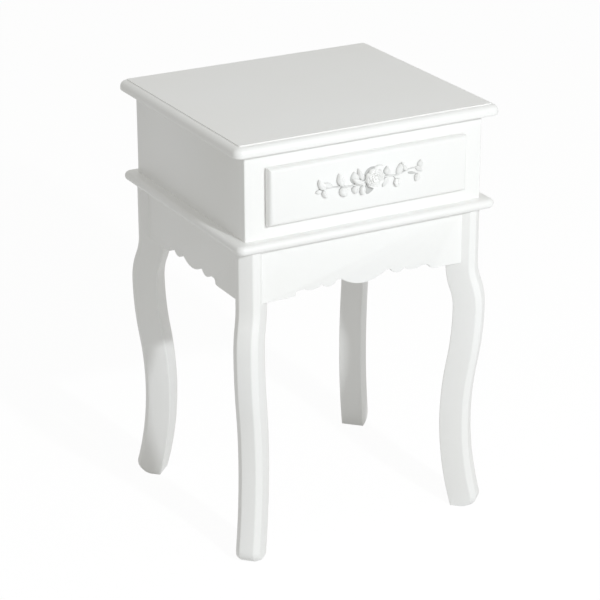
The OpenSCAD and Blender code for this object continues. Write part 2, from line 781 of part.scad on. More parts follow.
top_board();
case_side(-1);  // case_side_left
case_side(1);  // case_side_right
case_back();
front_stile(-1);  // front_stile_left
front_stile(1);  // front_stile_right
front_rail(open_z1, case_top_z);  // front_rail_top
front_rail(waist_z, open_z0);  // front_rail_bottom
waist_board();
apron(0, hy) front_face();  // apron_front
apron(180, hy) front_face();  // apron_back
apron(-90, hx) side_face();  // apron_left
apron(90, hx) side_face();  // apron_right
leg(-1, -1);  // leg_front_left
leg(1, -1);  // leg_front_right
leg(-1, 1);  // leg_back_left
leg(1, 1);  // leg_back_right
corner_block(-1, -1);  // block_front_left
corner_block(1, -1);  // block_front_right
corner_block(-1, 1);  // block_back_left
corner_block(1, 1);  // block_back_right
cleat(-1);  // cleat_left
cleat(1);  // cleat_right
runner(-1);  // runner_left
runner(1);  // runner_right
drawer_stop();
frame_dowels();
top_screws();
waist_screws();
block_screws();
back_screws();
runner_screws();
stop_screw();
leg_bolts();
leg_washers();
leg_nuts();
drawer_front();
rose_garland();
drawer_inner_front();
drawer_side(-1);  // drawer_side_left
drawer_side(1);  // drawer_side_right
drawer_back();
drawer_bottom();
drawer_dowels();
front_screws();
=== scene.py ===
"""Finishes a small painted nightstand: moulded boards, curved legs, carved drawer and bare inner timber."""

import json
import math
from collections import namedtuple

import bmesh
import bpy
import numpy as np
from bpy.props import FloatProperty, FloatVectorProperty, PointerProperty
from bpy.types import Operator, Panel, PropertyGroup
from mathutils import Matrix, Vector

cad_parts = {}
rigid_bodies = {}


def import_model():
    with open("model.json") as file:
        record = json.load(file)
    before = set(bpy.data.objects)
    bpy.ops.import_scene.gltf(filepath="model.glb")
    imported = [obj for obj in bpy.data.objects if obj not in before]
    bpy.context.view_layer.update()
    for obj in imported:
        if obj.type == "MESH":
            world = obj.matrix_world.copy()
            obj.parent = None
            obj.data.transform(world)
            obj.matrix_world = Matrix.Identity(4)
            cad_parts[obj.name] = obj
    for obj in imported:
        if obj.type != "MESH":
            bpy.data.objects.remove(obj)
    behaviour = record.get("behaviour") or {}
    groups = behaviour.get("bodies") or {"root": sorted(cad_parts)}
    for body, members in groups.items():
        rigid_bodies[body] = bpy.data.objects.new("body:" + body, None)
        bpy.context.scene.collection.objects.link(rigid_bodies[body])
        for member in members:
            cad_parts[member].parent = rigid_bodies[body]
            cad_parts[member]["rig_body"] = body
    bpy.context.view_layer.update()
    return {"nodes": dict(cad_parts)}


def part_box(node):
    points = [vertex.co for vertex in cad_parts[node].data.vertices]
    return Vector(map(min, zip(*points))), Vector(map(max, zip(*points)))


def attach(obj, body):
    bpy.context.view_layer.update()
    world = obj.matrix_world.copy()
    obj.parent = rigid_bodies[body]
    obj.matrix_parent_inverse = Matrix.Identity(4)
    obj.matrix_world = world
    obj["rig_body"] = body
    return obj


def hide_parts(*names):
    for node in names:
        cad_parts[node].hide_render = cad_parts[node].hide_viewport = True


bl_info = {
    "name": "Painted Nightstand",
    "version": (1, 0, 0),
    "blender": (4, 5, 0),
    "location": "3D View > Sidebar > Nightstand",
    "description": "Builds the painted and bare pieces of a nightstand with one carved drawer",
    "category": "Object",
}

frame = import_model()

CORNERS = {"front_left": (-1, -1), "front_right": (1, -1), "back_left": (-1, 1), "back_right": (1, 1)}
# In metres: a gap that counts as none, and a millimetre
HAIR = 1e-6
MM = 0.001
QUARTER = math.pi / 2
WHITE = (1.0, 1.0, 1.0, 1.0)
# Edges that turn by more degrees than this are drawn sharp, on boards, on the carving and on small round parts
SHARP, CARVED_SHARP, SMALL_SHARP = 38.0, 50.0, 30.0


def number_prop(name, description, default, **limits):
    """A number that starts at its default."""
    return FloatProperty(name=name, description=description, default=default, **limits)


def length_prop(name, description, default, high):
    """A size in metres that starts at its default."""
    return number_prop(name, description, default, min=0.0, max=high, precision=5, unit="LENGTH",
                       subtype="DISTANCE")


def colour_prop(name, description, default):
    """A linear colour."""
    return FloatVectorProperty(name=name, description=description, default=default, size=3,
                               min=0.0, max=1.0, subtype="COLOR")


class BoardSizes(PropertyGroup):
    """Edges of the top board, the waist board and the case panels."""

    top_corner: length_prop("Top corner", "Plan radius of the top board's corners", 0.012, 0.05)
    step_height: length_prop("Step height", "Small step round the flat top", 0.0015, 0.004)
    step_width: length_prop("Step width", "Width of that step", 0.0007, 0.004)
    round_radius: length_prop("Round", "Quarter round under the step", 0.009, 0.0095)
    lower_ease: length_prop("Lower ease", "Eased lower edge of the top board", 0.003, 0.004)
    paint_ease: length_prop("Paint ease", "Softness that the paint gives to the step", 0.00025, 0.0004)
    waist_corner: length_prop("Waist corner", "Plan radius of the waist board's corners", 0.011, 0.05)
    case_ease: length_prop("Case ease", "Eased corners of the painted case", 0.0012, 0.004)


class ApronSizes(PropertyGroup):
    """Scallops under the aprons, measured from the middle and from their lowest line."""

    front_lobe: length_prop("Front lobe", "Width of the middle lobe at the front and back", 0.068, 0.09)
    front_bump: length_prop("Front bump", "Distance to the inner bumps at the front and back", 0.0535, 0.06)
    front_outer: length_prop("Front outer bump", "Distance to the outer bumps", 0.079, 0.09)
    front_end: length_prop("Front end", "Distance to the straight ends", 0.104, 0.13)
    front_notch: length_prop("Front notch", "Height of the notches beside the front lobe", 0.0115, 0.02)
    front_rise: length_prop("Front bump rise", "Height of the front bumps' lowest points", 0.0045, 0.01)
    side_lobe: length_prop("Side lobe", "Width of the middle lobe at the sides", 0.052, 0.07)
    side_bump: length_prop("Side bump", "Distance to the bumps at the sides", 0.043, 0.06)
    side_end: length_prop("Side end", "Distance to the straight ends at the sides", 0.070, 0.10)
    side_notch: length_prop("Side notch", "Height of the notches beside the side lobe", 0.008, 0.02)
    side_rise: length_prop("Side bump rise", "Height of the side bumps' lowest points", 0.002, 0.01)
    bump_width: length_prop("Bump width", "Width of a bump", 0.024, 0.03)
    outer_notch: length_prop("Outer notch", "Height of the outer notches", 0.0075, 0.02)
    slope: length_prop("End slope", "Width of the slope that ends the front apron's right notch", 0.011, 0.03)
    ease: length_prop("Ease", "Eased lower edges", 0.0008, 0.003)


class LegSizes(PropertyGroup):
    """The curved legs, in a plane along the diagonal of their corner."""

    thickness: length_prop("Thickness", "Thickness across the diagonal", 0.034, 0.06)
    depth: length_prop("Depth", "Depth along the diagonal", 0.040, 0.06)
    setback: length_prop("Setback", "Distance from the case corner to the outer face", 0.0015, 0.01)
    neck: length_prop("Neck", "Height at which the straight neck ends", 0.372, 0.5)
    knee: length_prop("Knee", "Height of the knee", 0.307, 0.5)
    ankle: length_prop("Ankle", "Height of the ankle", 0.136, 0.3)
    knee_out: length_prop("Knee out", "Distance that the knee swings out", 0.0118, 0.03)
    ankle_in: length_prop("Ankle in", "Distance that the ankle swings in from the knee", 0.0153, 0.03)
    toe: length_prop("Toe", "Radius of the rounded toe", 0.015, 0.02)
    bevel: length_prop("Bevel", "Width of the bevels on the outer edges", 0.007, 0.012)
    bevel_ease: length_prop("Bevel ease", "Softening of the bevels' own edges", 0.0014, 0.003)
    back_ease: length_prop("Back ease", "Radius of the eased inner edges", 0.0015, 0.004)


class DrawerSizes(PropertyGroup):
    """Edges of the drawer."""

    front_round: length_prop("Front round", "Radius round the drawer front's face", 0.0055, 0.006)
    back_ease: length_prop("Back ease", "Eased back edges of the drawer front", 0.0005, 0.002)
    box_ease: length_prop("Box ease", "Eased edges of the drawer box", 0.0012, 0.003)
    timber_ease: length_prop("Timber ease", "Eased edges of the hidden timber", 0.0008, 0.003)


class CarvingSizes(PropertyGroup):
    """The carved rose garland."""

    leaf_relief: length_prop("Leaf relief", "Height of a middling leaf", 0.0072, 0.009)
    stem_radius: length_prop("Stem radius", "Radius of the main stem", 0.0012, 0.003)
    rose_radius: length_prop("Rose radius", "Radius of the rose's outer petals", 0.0143, 0.02)
    bud_radius: length_prop("Bud radius", "Radius of the bud beside the rose", 0.0058, 0.01)


class FastenerSizes(PropertyGroup):
    """Screws, dowels and bolts."""

    head: length_prop("Head", "Diameter of the screw heads", 0.008, 0.012)
    head_height: length_prop("Head height", "Height of the screw heads' cones", 0.0026, 0.005)
    shank: length_prop("Shank", "Outer diameter of the screw threads", 0.004, 0.006)
    pitch: length_prop("Screw pitch", "Pitch of the screw threads", 0.0018, 0.004)
    dowel: length_prop("Dowel", "Diameter of the dowels", 0.006, 0.01)
    bolt: length_prop("Bolt", "Diameter of the leg bolts", 0.006, 0.01)
    bolt_pitch: length_prop("Bolt pitch", "Pitch of the leg bolts' threads", 0.001, 0.004)
    washer: length_prop("Washer", "Outer diameter of the washers", 0.018, 0.03)
    nut_flats: length_prop("Nut", "Width of a nut across its flats", 0.010, 0.02)


class Finishes(PropertyGroup):
    """Colours of the paint, the timber and the metal."""

    paint: colour_prop("Paint", "White satin paint", (0.93, 0.93, 0.92))
    # Painted shade: the carving's hollows are greyed to this share of the paint's tone
    hollow_painted_shade: colour_prop("Hollow painted shade", "Share of the paint's tone left in the carving's hollows",
                             (0.50, 0.505, 0.50))
    paint_roughness: number_prop("Paint roughness", "How matt the paint is", 0.44, min=0.1, max=1.0,
                                 subtype="FACTOR")
    timber_pale: colour_prop("Timber pale", "Early wood of the inner timber", (0.72, 0.54, 0.34))
    timber_dark: colour_prop("Timber dark", "Late wood of the inner timber", (0.48, 0.29, 0.14))
    board_pale: colour_prop("Drawer pale", "Early wood of the drawer box", (0.78, 0.64, 0.45))
    board_dark: colour_prop("Drawer dark", "Late wood of the drawer box", (0.60, 0.43, 0.25))
    zinc: colour_prop("Zinc", "Bright zinc plate", (0.70, 0.71, 0.73))


class StageSettings(PropertyGroup):
    """Camera, lamps and floor."""

    azimuth: number_prop("Azimuth", "Camera's turn round the nightstand, from its front", math.radians(-28.72),
                         subtype="ANGLE")
    elevation: number_prop("Elevation", "Camera's height above the horizon", math.radians(22.18),
                           subtype="ANGLE")
    distance: number_prop("Distance", "Camera's distance from its aim", 3.2, min=0.5, unit="LENGTH")
    aim: FloatVectorProperty(name="Aim", description="Point at the middle of the picture",
                             default=(0.0088, 0.0338, 0.278), size=3, unit="LENGTH")
    roll: number_prop("Roll", "Camera's roll", math.radians(-0.1), subtype="ANGLE")
    lens: number_prop("Lens", "Focal length in millimetres", 134.16, min=10.0)
    sky: number_prop("Sky", "Strength of the even light from all sides", 0.46, min=0.0)
    sky_colour: colour_prop("Sky colour", "Slightly warm even light", (1.0, 1.0, 0.965))
    front: number_prop("Front", "Power of the soft lamp in front", 1.5, min=0.0, unit="POWER")
    spot: number_prop("Spot", "Power of the small lamp above the front", 38.0, min=0.0, unit="POWER")
    lamp_colour: colour_prop("Lamp colour", "Slightly cool light of the lamps in front", (0.945, 0.973, 1.0))
    top: number_prop("Top", "Power of the large lamp overhead", 2.0, min=0.0, unit="POWER")
    floor: colour_prop("Floor", "Pale floor", (0.80, 0.80, 0.80))
    floor_glow: number_prop("Floor glow", "Share of the floor's own white", 0.88, min=0.0, max=1.0,
                            subtype="FACTOR")


SETTINGS = {
    "nightstand_boards": BoardSizes,
    "nightstand_aprons": ApronSizes,
    "nightstand_legs": LegSizes,
    "nightstand_drawer": DrawerSizes,
    "nightstand_carving": CarvingSizes,
    "nightstand_fasteners": FastenerSizes,
    "nightstand_finishes": Finishes,
    "nightstand_stage": StageSettings,
}


class Value:
    """A node's output. Sums on it add Math nodes to the same tree."""

    def __init__(self, graph, socket):
        self.graph = graph
        self.socket = socket

    def __add__(self, other):
        return self.graph.math("ADD", self, other)

    def __radd__(self, other):
        return self.graph.math("ADD", other, self)

    def __sub__(self, other):
        return self.graph.math("SUBTRACT", self, other)

    def __rsub__(self, other):
        return self.graph.math("SUBTRACT", other, self)

    def __mul__(self, other):
        return self.graph.math("MULTIPLY", self, other)

    def __rmul__(self, other):
        return self.graph.math("MULTIPLY", other, self)

    def __truediv__(self, other):
        return self.graph.math("DIVIDE", self, other)

    def __rtruediv__(self, other):
        return self.graph.math("DIVIDE", other, self)

    def __neg__(self):
        return self.graph.math("MULTIPLY", self, -1.0)


class Graph:
    """A node tree while it is made."""

    def __init__(self, tree):
        self.tree = tree

    def node(self, kind, sockets=None, out=0, **settings):
        """Adds a node with its settings and the values or links of its sockets, and gives one output."""
        made = self.tree.nodes.new(kind)
        for key, value in settings.items():
            if key == "stops":
                set_stops(made.color_ramp, value)
            else:
                setattr(made, key, value)
        for key, value in (sockets or {}).items():
            for one in value if isinstance(value, list) else [value]:
                if isinstance(one, Value):
                    self.tree.links.new(one.socket, made.inputs[key])
                else:
                    made.inputs[key].default_value = one
        return Value(self, made.outputs[out]) if made.outputs else None

    def math(self, operation, *terms):
        """A Math node on numbers and values."""
        return self.node("ShaderNodeMath", dict(enumerate(terms)), operation=operation)

    def vector(self, x=0.0, y=0.0, z=0.0):
        """A vector of three numbers or values."""
        return self.node("ShaderNodeCombineXYZ", {0: x, 1: y, 2: z})

    def part(self, vector, axis):
        """A vector's number along X, Y or Z."""
        return self.node("ShaderNodeSeparateXYZ", {0: vector}, out=axis)

    def blend(self, factor, first, second):
        """A colour between two others."""
        return self.node("ShaderNodeMix", {"Factor": factor, 6: first, 7: second}, out=2, data_type="RGBA")


def set_stops(ramp, stops):
    """Gives a colour ramp grey stops, each with its place and tone."""
    for spare in ramp.elements[1:]:
        ramp.elements.remove(spare)
    for i, (place, tone) in enumerate(stops):
        stop = ramp.elements.new(place) if i else ramp.elements[0]
        stop.position = place
        stop.color = (tone, tone, tone, 1.0)


class Shader(Graph):
    """The node tree of a new material."""

    def __init__(self, name):
        self.material = bpy.data.materials.new(name)
        self.material.use_nodes = True
        self.material.node_tree.nodes.clear()
        super().__init__(self.material.node_tree)
        self.place = self.node("ShaderNodeTexCoord", out="Object")

    def noise(self, scale, detail=2.0, roughness=0.5, place=None):
        """Grey noise with its scale in repeats a metre."""
        return self.node("ShaderNodeTexNoise", {"Vector": place or self.place, "Scale": scale,
                                                "Detail": detail, "Roughness": roughness})

    def finish(self, sockets, height, depth, strength):
        """Ends the material in one Principled shader, with a bump of the given depth in metres."""
        bump = self.node("ShaderNodeBump", {"Height": height, "Distance": depth, "Strength": strength})
        shader = self.node("ShaderNodeBsdfPrincipled", {**sockets, "Normal": bump})
        self.node("ShaderNodeOutputMaterial", {"Surface": shader})
        return self.material


def rgba(colour, shade=(1.0, 1.0, 1.0)):
    """A colour for a socket, with each channel times its share."""
    return (*(c * share for c, share in zip(colour, shade)), 1.0)


def satin_paint(name, hollow=None):
    """Sprayed white satin: a faint drift of tone, fine peel and a few dust nibs under the coat.

    A hollow is a function that gives, for a shader, how deep in the carving a place lies, from 0 to 1; the paint
    is greyed by that much as painted shade in the carving's hollows.
    """
    look = bpy.context.scene.nightstand_finishes
    warm_shade = (0.985, 0.98, 0.965)
    shader = Shader(name)
    drift = shader.noise(5.0, detail=3.0)
    peel = shader.noise(420.0, detail=1.5)
    fine = shader.noise(1500.0, detail=1.0)
    nib = shader.node("ShaderNodeTexVoronoi", {"Vector": shader.place, "Scale": 38.0}, out="Distance")
    nib = shader.node("ShaderNodeValToRGB", {0: nib}, stops=[(0.0, 1.0), (0.02, 0.6), (0.035, 0.0)])
    colour = shader.blend((drift - 0.35) * 1.6, rgba(look.paint), rgba(look.paint, warm_shade))
    if hollow:
        # Painted shade: the colour greys towards the drawer front in the carving's hollows, in place of their
        # shade
        colour = shader.blend(hollow(shader), colour, rgba(look.paint, look.hollow_painted_shade))
    rough = look.paint_roughness + (drift - 0.5) * 0.10 + (peel - 0.5) * 0.05
    height = peel * 0.8 + fine * 0.2 + nib * 0.9
    return shader.finish({"Base Color": colour, "Roughness": rough}, height, depth=0.00004, strength=0.5)


def carved_paint(name):
    """The satin on the carving, with painted shade that greys it towards the hollows against the drawer front."""
    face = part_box("drawer_front")[0].y
    reach = bpy.context.scene.nightstand_carving.leaf_relief * PAINTED_SHADE_REACH

    def hollow(shader):
        """How much painted shade a place gets: 1 at the drawer front, and 0 from the reach of the hollows
        outwards.
        """
        depth = (shader.part(shader.place, "Y") - (face - reach)) / reach
        depth = shader.math("MAXIMUM", depth, 0.0)
        return depth * depth

    return satin_paint(name, hollow)


def timber(name, kind, grain, heart, ring_gap):
    """Bare sawn timber whose grain runs along an axis, with its rings about a heart line beside the piece."""
    look = bpy.context.scene.nightstand_finishes
    pale, dark = getattr(look, kind + "_pale"), getattr(look, kind + "_dark")
    shader = Shader(name)
    along = shader.part(shader.place, grain)
    across, up = (shader.part(shader.place, axis) for axis in "XYZ" if axis != grain)
    slow = shader.vector(across, up, along * 0.12)
    fine = shader.vector(across, up, along * 0.02)
    wave = shader.noise(22.0, place=slow)
    cloud = shader.noise(14.0, place=slow)
    fibre = shader.noise(900.0, detail=3.0, roughness=0.6, place=fine)
    x, y = across - heart[0], up - heart[1]
    radius = shader.math("SQRT", x * x + y * y)
    phase = shader.math("FRACT", (radius + (wave - 0.5) * ring_gap * 3.0) / ring_gap)
    ring = shader.node("ShaderNodeValToRGB", {0: phase},
                       stops=[(0.0, 0.25), (0.15, 0.05), (0.6, 0.25), (0.88, 1.0), (1.0, 0.25)])
    tone = ring * 0.55 + (fibre - 0.5) * 0.5 + (cloud - 0.5) * 0.5
    sockets = {"Base Color": shader.blend(tone, rgba(pale), rgba(dark)), "Roughness": 0.62 + (fibre - 0.5) * 0.16}
    return shader.finish(sockets, fibre + ring * 0.4, depth=0.00012, strength=0.4)


def zinc_plate(name):
    """Bright zinc plate with a soft bloom and fine drawn marks."""
    zinc = bpy.context.scene.nightstand_finishes.zinc
    bloom_shade = (0.86, 0.87, 0.90)
    shader = Shader(name)
    bloom = shader.noise(160.0, detail=3.0)
    marks = shader.noise(2600.0, detail=1.0)
    sockets = {"Base Color": shader.blend(bloom, rgba(zinc), rgba(zinc, bloom_shade)), "Metallic": 1.0,
               "Roughness": 0.26 + bloom * 0.16 + (marks - 0.5) * 0.08}
    return shader.finish(sockets, marks, depth=0.00002, strength=0.3)


# How far the painted shade of the carving's hollows reaches, as a share of a middling leaf's height
PAINTED_SHADE_REACH = 0.6
# For each finish: the record's slot, what makes its material, and what that needs. Timber needs its kind, the
# axis of its grain, the place of its heart line on the other two axes, and the gap between its rings
FINISHES = {
    "paint": ("painted_wood", satin_paint),
    "carved_paint": ("painted_wood", carved_paint),
    "leg_timber": ("bare_wood", timber, "timber", "Y", (0.05, 0.30), 0.0042),
    "runner_timber": ("bare_wood", timber, "timber", "Y", (0.10, 0.44), 0.0042),
    "stop_timber": ("bare_wood", timber, "timber", "X", (-0.02, 0.50), 0.0042),
    "side_board": ("bare_wood", timber, "board", "Y", (0.0, 0.40), 0.0052),
    "cross_board": ("bare_wood", timber, "board", "X", (0.05, 0.36), 0.0060),
    "panel_board": ("bare_wood", timber, "board", "X", (0.02, 0.485), 0.0018),
    "dowel_timber": ("bare_wood", timber, "board", "X", (0.6, 0.2), 0.0030),
    "zinc": ("plated_steel", zinc_plate),
}


def finish_of(key):
    """The record's slot of a finish, and its material, which is made when it is first asked for."""
    slot, make, *needs = FINISHES[key]
    name = key + "_finish"
    return slot, bpy.data.materials.get(name) or make(name, *needs)


def add_piece(name, mesh, finish, node, sharp=SHARP):
    """Shows a finished mesh in place of its CAD node and lets it ride on the node's body."""
    slot, material = finish_of(finish)
    mesh.name = name
    mesh.materials.clear()
    mesh.materials.append(material)
    mesh.polygons.foreach_set("material_index", [0] * len(mesh.polygons))
    mesh.shade_smooth()
    mesh.set_sharp_from_angle(angle=math.radians(sharp))
    piece = bpy.data.objects.new(name, mesh)
    bpy.context.scene.collection.objects.link(piece)
    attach(piece, frame["nodes"][node]["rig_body"])
    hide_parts(node)


def steps(first, last, count):
    """Evenly spaced numbers from a first to a last, with a number of gaps between them."""
    return [first + (last - first) * i / count for i in range(count + 1)]


def islands(bm):
    """The separate solids of a bmesh, as lists of corners."""
    seen, found = set(), []
    for start in bm.verts:
        if start in seen:
            continue
        seen.add(start)
        reached, queue = [], [start]
        while queue:
            vert = queue.pop()
            reached.append(vert)
            for edge in vert.link_edges:
                other = edge.other_vert(vert)
                if other not in seen:
                    seen.add(other)
                    queue.append(other)
        found.append(reached)
    return found


def turn_outwards(bm):
    """Turns the faces of each solid outwards, by the sign of its volume."""
    bmesh.ops.recalc_face_normals(bm, faces=bm.faces)
    for corners in islands(bm):
        faces = {face for corner in corners for face in corner.link_faces}
        volume = sum(f.calc_center_median().dot(f.normal) * f.calc_area() for f in faces)
        if volume < 0:
            bmesh.ops.reverse_faces(bm, faces=list(faces))


def to_mesh(bm, name):
    """Turns a bmesh into a mesh with its faces outwards."""
    turn_outwards(bm)
    mesh = bpy.data.meshes.new(name)
    bm.to_mesh(mesh)
    bm.free()
    return mesh


def bridge(bm, rings):
    """Skins a row of closed rings of corners."""
    for upper, lower in zip(rings, rings[1:]):
        for i in range(len(upper)):
            k = (i + 1) % len(upper)
            bm.faces.new((upper[i], upper[k], lower[k], lower[i]))


def ease(bm, edges, radius, segments=2):
    """Rounds edges over."""
    bmesh.ops.bevel(bm, geom=list(edges), offset=radius, segments=segments, profile=0.5, affect="EDGES",
                    clamp_overlap=True)


def merged_copy(node):
    """A copy of a CAD node with its doubles merged."""
    bm = bmesh.new()
    bm.from_mesh(frame["nodes"][node].data)
    bmesh.ops.remove_doubles(bm, verts=bm.verts, dist=HAIR)
    return bm


def long_edges(bm, shortest=0.008):
    """The convex, square edges of a board, without the short ones round its bores."""
    return [e for e in bm.edges if len(e.link_faces) == 2 and e.calc_length() > shortest
            and e.is_convex and e.calc_face_angle() > math.radians(40)]


def add_eased(look, node, radius, finish, wanted=lambda middle: True):
    """Shows a CAD node with its long edges rounded over: all of them, or those wanted by their middle."""
    bm = merged_copy(node)
    bmesh.ops.dissolve_limit(bm, angle_limit=math.radians(0.5), verts=bm.verts, edges=bm.edges)
    ease(bm, [e for e in long_edges(bm) if wanted((e.verts[0].co + e.verts[1].co) / 2)], radius)
    add_piece(look + "_" + node, to_mesh(bm, node), finish, node)


def solids_of(node):
    """The corners of each separate solid of a CAD node, as arrays."""
    bm = merged_copy(node)
    found = [np.array([corner.co[:] for corner in corners]) for corners in islands(bm)]
    bm.free()
    return found


def axis_of(solid):
    """Start, direction and length of a round solid along its own axis, from its wider end."""
    middle = (solid.min(0) + solid.max(0)) / 2
    axis = np.linalg.svd(solid - solid.mean(0), full_matrices=False)[2][0]
    along = (solid - middle) @ axis
    off = np.linalg.norm(solid - middle - np.outer(along, axis), axis=1)
    if off[along > along.max() - HAIR].max() > off[along < along.min() + HAIR].max():
        axis, along = -axis, -along
    return Vector(middle + axis * along.min()), Vector(axis), float(along.max() - along.min())


class GeometryTree(Graph):
    """A geometry tree with named inputs, whose values it keeps by name."""

    def __init__(self, name, inputs):
        tree = bpy.data.node_groups.new(name, "GeometryNodeTree")
        tree.interface.new_socket("Geometry", in_out="INPUT", socket_type="NodeSocketGeometry")
        for label, first in inputs.items():
            kind = "NodeSocketInt" if isinstance(first, int) else "NodeSocketFloat"
            tree.interface.new_socket(label, in_out="INPUT", socket_type=kind)
        tree.interface.new_socket("Geometry", in_out="OUTPUT", socket_type="NodeSocketGeometry")
        super().__init__(tree)
        entry = tree.nodes.new("NodeGroupInput")
        self.value = {socket.name: Value(self, socket) for socket in entry.outputs if socket.name}

    def values(self, *names):
        """The values of some inputs."""
        return [self.value[name] for name in names]

    def lifted(self, geometry, height):
        """A geometry moved up along Z."""
        return self.node("GeometryNodeTransform", {"Geometry": geometry, "Translation": self.vector(z=height)})

    def end(self, geometry, finish):
        """Ends the tree in Realize Instances and Set Material."""
        real = self.node("GeometryNodeRealizeInstances", {0: geometry})
        real = self.node("GeometryNodeSetMaterial", {"Geometry": real, "Material": finish_of(finish)[1]})
        self.node("NodeGroupOutput", {0: real})
        return self.tree


def grow(name, tree, inputs, places=((0.0, 0.0, 0.0),), directions=((0.0, 0.0, 1.0),)):
    """Runs a geometry tree on points, each with a direction, and returns the result as a plain mesh."""
    seed = bpy.data.meshes.new(name + "_places")
    seed.from_pydata([tuple(p) for p in places], [], [])
    along = seed.attributes.new("along", "FLOAT_VECTOR", "POINT")
    along.data.foreach_set("vector", [c for d in directions for c in d])
    holder = bpy.data.objects.new(name + "_places", seed)
    bpy.context.scene.collection.objects.link(holder)
    modifier = holder.modifiers.new("grow", "NODES")
    modifier.node_group = tree
    for socket in tree.interface.items_tree:
        if socket.in_out == "INPUT" and socket.name in inputs:
            modifier[socket.identifier] = inputs[socket.name]
    holder.update_tag()
    shown = holder.evaluated_get(bpy.context.evaluated_depsgraph_get())
    mesh = bpy.data.meshes.new_from_object(shown)
    bpy.data.objects.remove(holder)
    bpy.data.meshes.remove(seed)
    return mesh


class Moulding(GeometryTree):
    """A board's edge section, as strokes and bends: out from the board's face, and up."""

    CORNER_STEPS = 14
    # The section runs in from the edge by this share of the plan corners' radius, so it never folds there
    INSET = 0.9

    def __init__(self, name, inputs):
        super().__init__(name, inputs)
        self.lines = []
        self.flat = -self.INSET * self.value["Corner"]

    def point(self, out, up):
        """A point of the section: a sweep lays its x to the outside of the path and its y downwards."""
        return self.vector(out, -up)

    def stroke(self, *points):
        """Straight lines from point to point."""
        for start, end in zip(points, points[1:]):
            self.lines.append(self.node("GeometryNodeCurvePrimitiveLine",
                                        {"Start": self.point(*start), "End": self.point(*end)}))

    def bend(self, centre, radius, start, sweep, count):
        """An arc from a start angle, measured from outwards to up."""
        arc = self.node("GeometryNodeCurveArc", {"Resolution": count + 1, "Radius": radius,
                                                 "Start Angle": -start, "Sweep Angle": -sweep}, mode="RADIUS")
        self.lines.append(self.node("GeometryNodeTransform",
                                    {"Geometry": arc, "Translation": self.point(*centre)}))

    def sweep_round(self):
        """Sweeps the section round a rectangle with rounded corners, at the board's height."""
        width, depth, corner, lift = self.values("Width", "Depth", "Corner", "Lift")
        path = self.node("GeometryNodeCurvePrimitiveQuadrilateral", {"Width": width, "Height": depth},
                         mode="RECTANGLE")
        path = self.node("GeometryNodeFilletCurve",
                         {"Curve": path, "Count": self.CORNER_STEPS, "Radius": corner}, mode="POLY")
        path = self.node("GeometryNodeSetCurveNormal", {"Curve": path}, mode="Z_UP")
        section = self.node("GeometryNodeJoinGeometry", {0: self.lines})
        skin = self.node("GeometryNodeCurveToMesh", {"Curve": path, "Profile Curve": section})
        skin = self.node("GeometryNodeMergeByDistance", {"Geometry": skin, "Distance": HAIR})
        return self.lifted(skin, lift)


def add_board(node, inputs, draw_edge):
    """Shows a board with a moulded edge, which a function draws, and with flat faces above and below."""
    low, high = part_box(node)
    size = high - low
    inputs = {"Width": size.x, "Depth": size.y, "Thickness": size.z, "Lift": low.z, **inputs}
    edge = Moulding("moulded_" + node, inputs)
    draw_edge(edge)
    name = "painted_" + node
    mesh = grow(name, edge.end(edge.sweep_round(), "paint"), inputs)
    bm = bmesh.new()
    bm.from_mesh(mesh)
    bmesh.ops.remove_doubles(bm, verts=bm.verts, dist=HAIR)
    bmesh.ops.holes_fill(bm, edges=[e for e in bm.edges if e.is_boundary], sides=0)
    turn_outwards(bm)
    bm.to_mesh(mesh)
    bm.free()
    add_piece(name, mesh, "paint", node)


class NIGHTSTAND_OT_top_board(Operator):
    """Make the top board with its step, quarter round and eased lower edge"""

    bl_idname = "nightstand.top_board"
    bl_label = "Top Board"

    def execute(self, context):
        sizes = context.scene.nightstand_boards
        add_board("top_board", {"Corner": sizes.top_corner, "Step Height": sizes.step_height,
                                "Step Width": sizes.step_width, "Round": sizes.round_radius,
                                "Ease": sizes.lower_ease, "Soft": sizes.paint_ease}, self.draw_edge)
        return {"FINISHED"}

    def draw_edge(self, edge):
        """From the lower face over its ease, the quarter round and the step to the upper face."""
        thick, radius, low, soft = edge.values("Thickness", "Round", "Ease", "Soft")
        ledge = thick - edge.value["Step Height"]
        shoulder = ledge - radius
        inner = -radius - edge.value["Step Width"]
        edge.stroke((edge.flat, 0.0), (-low, 0.0))
        edge.bend((-low, low), low, -QUARTER, QUARTER, 6)
        edge.stroke((0.0, low), (0.0, shoulder))
        edge.bend((-radius, shoulder), radius, 0.0, QUARTER, 14)
        edge.stroke((-radius, ledge), (inner + soft, ledge), (inner, ledge + soft), (inner, thick - soft))
        edge.bend((inner - soft, thick - soft), soft, 0.0, QUARTER, 3)
        edge.stroke((inner - soft, thick), (edge.flat, thick))


class NIGHTSTAND_OT_waist_board(Operator):
    """Make the waist board with its full bullnose edge"""

    bl_idname = "nightstand.waist_board"
    bl_label = "Waist Board"

    def execute(self, context):
        add_board("waist_board", {"Corner": context.scene.nightstand_boards.waist_corner}, self.draw_edge)
        return {"FINISHED"}

    def draw_edge(self, edge):
        """From the lower face over a half round to the upper face."""
        thick = edge.value["Thickness"]
        half = thick * 0.5
        edge.stroke((edge.flat, 0.0), (-half, 0.0))
        edge.bend((-half, half), half, -QUARTER, math.pi, 20)
        edge.stroke((-half, thick), (edge.flat, thick))


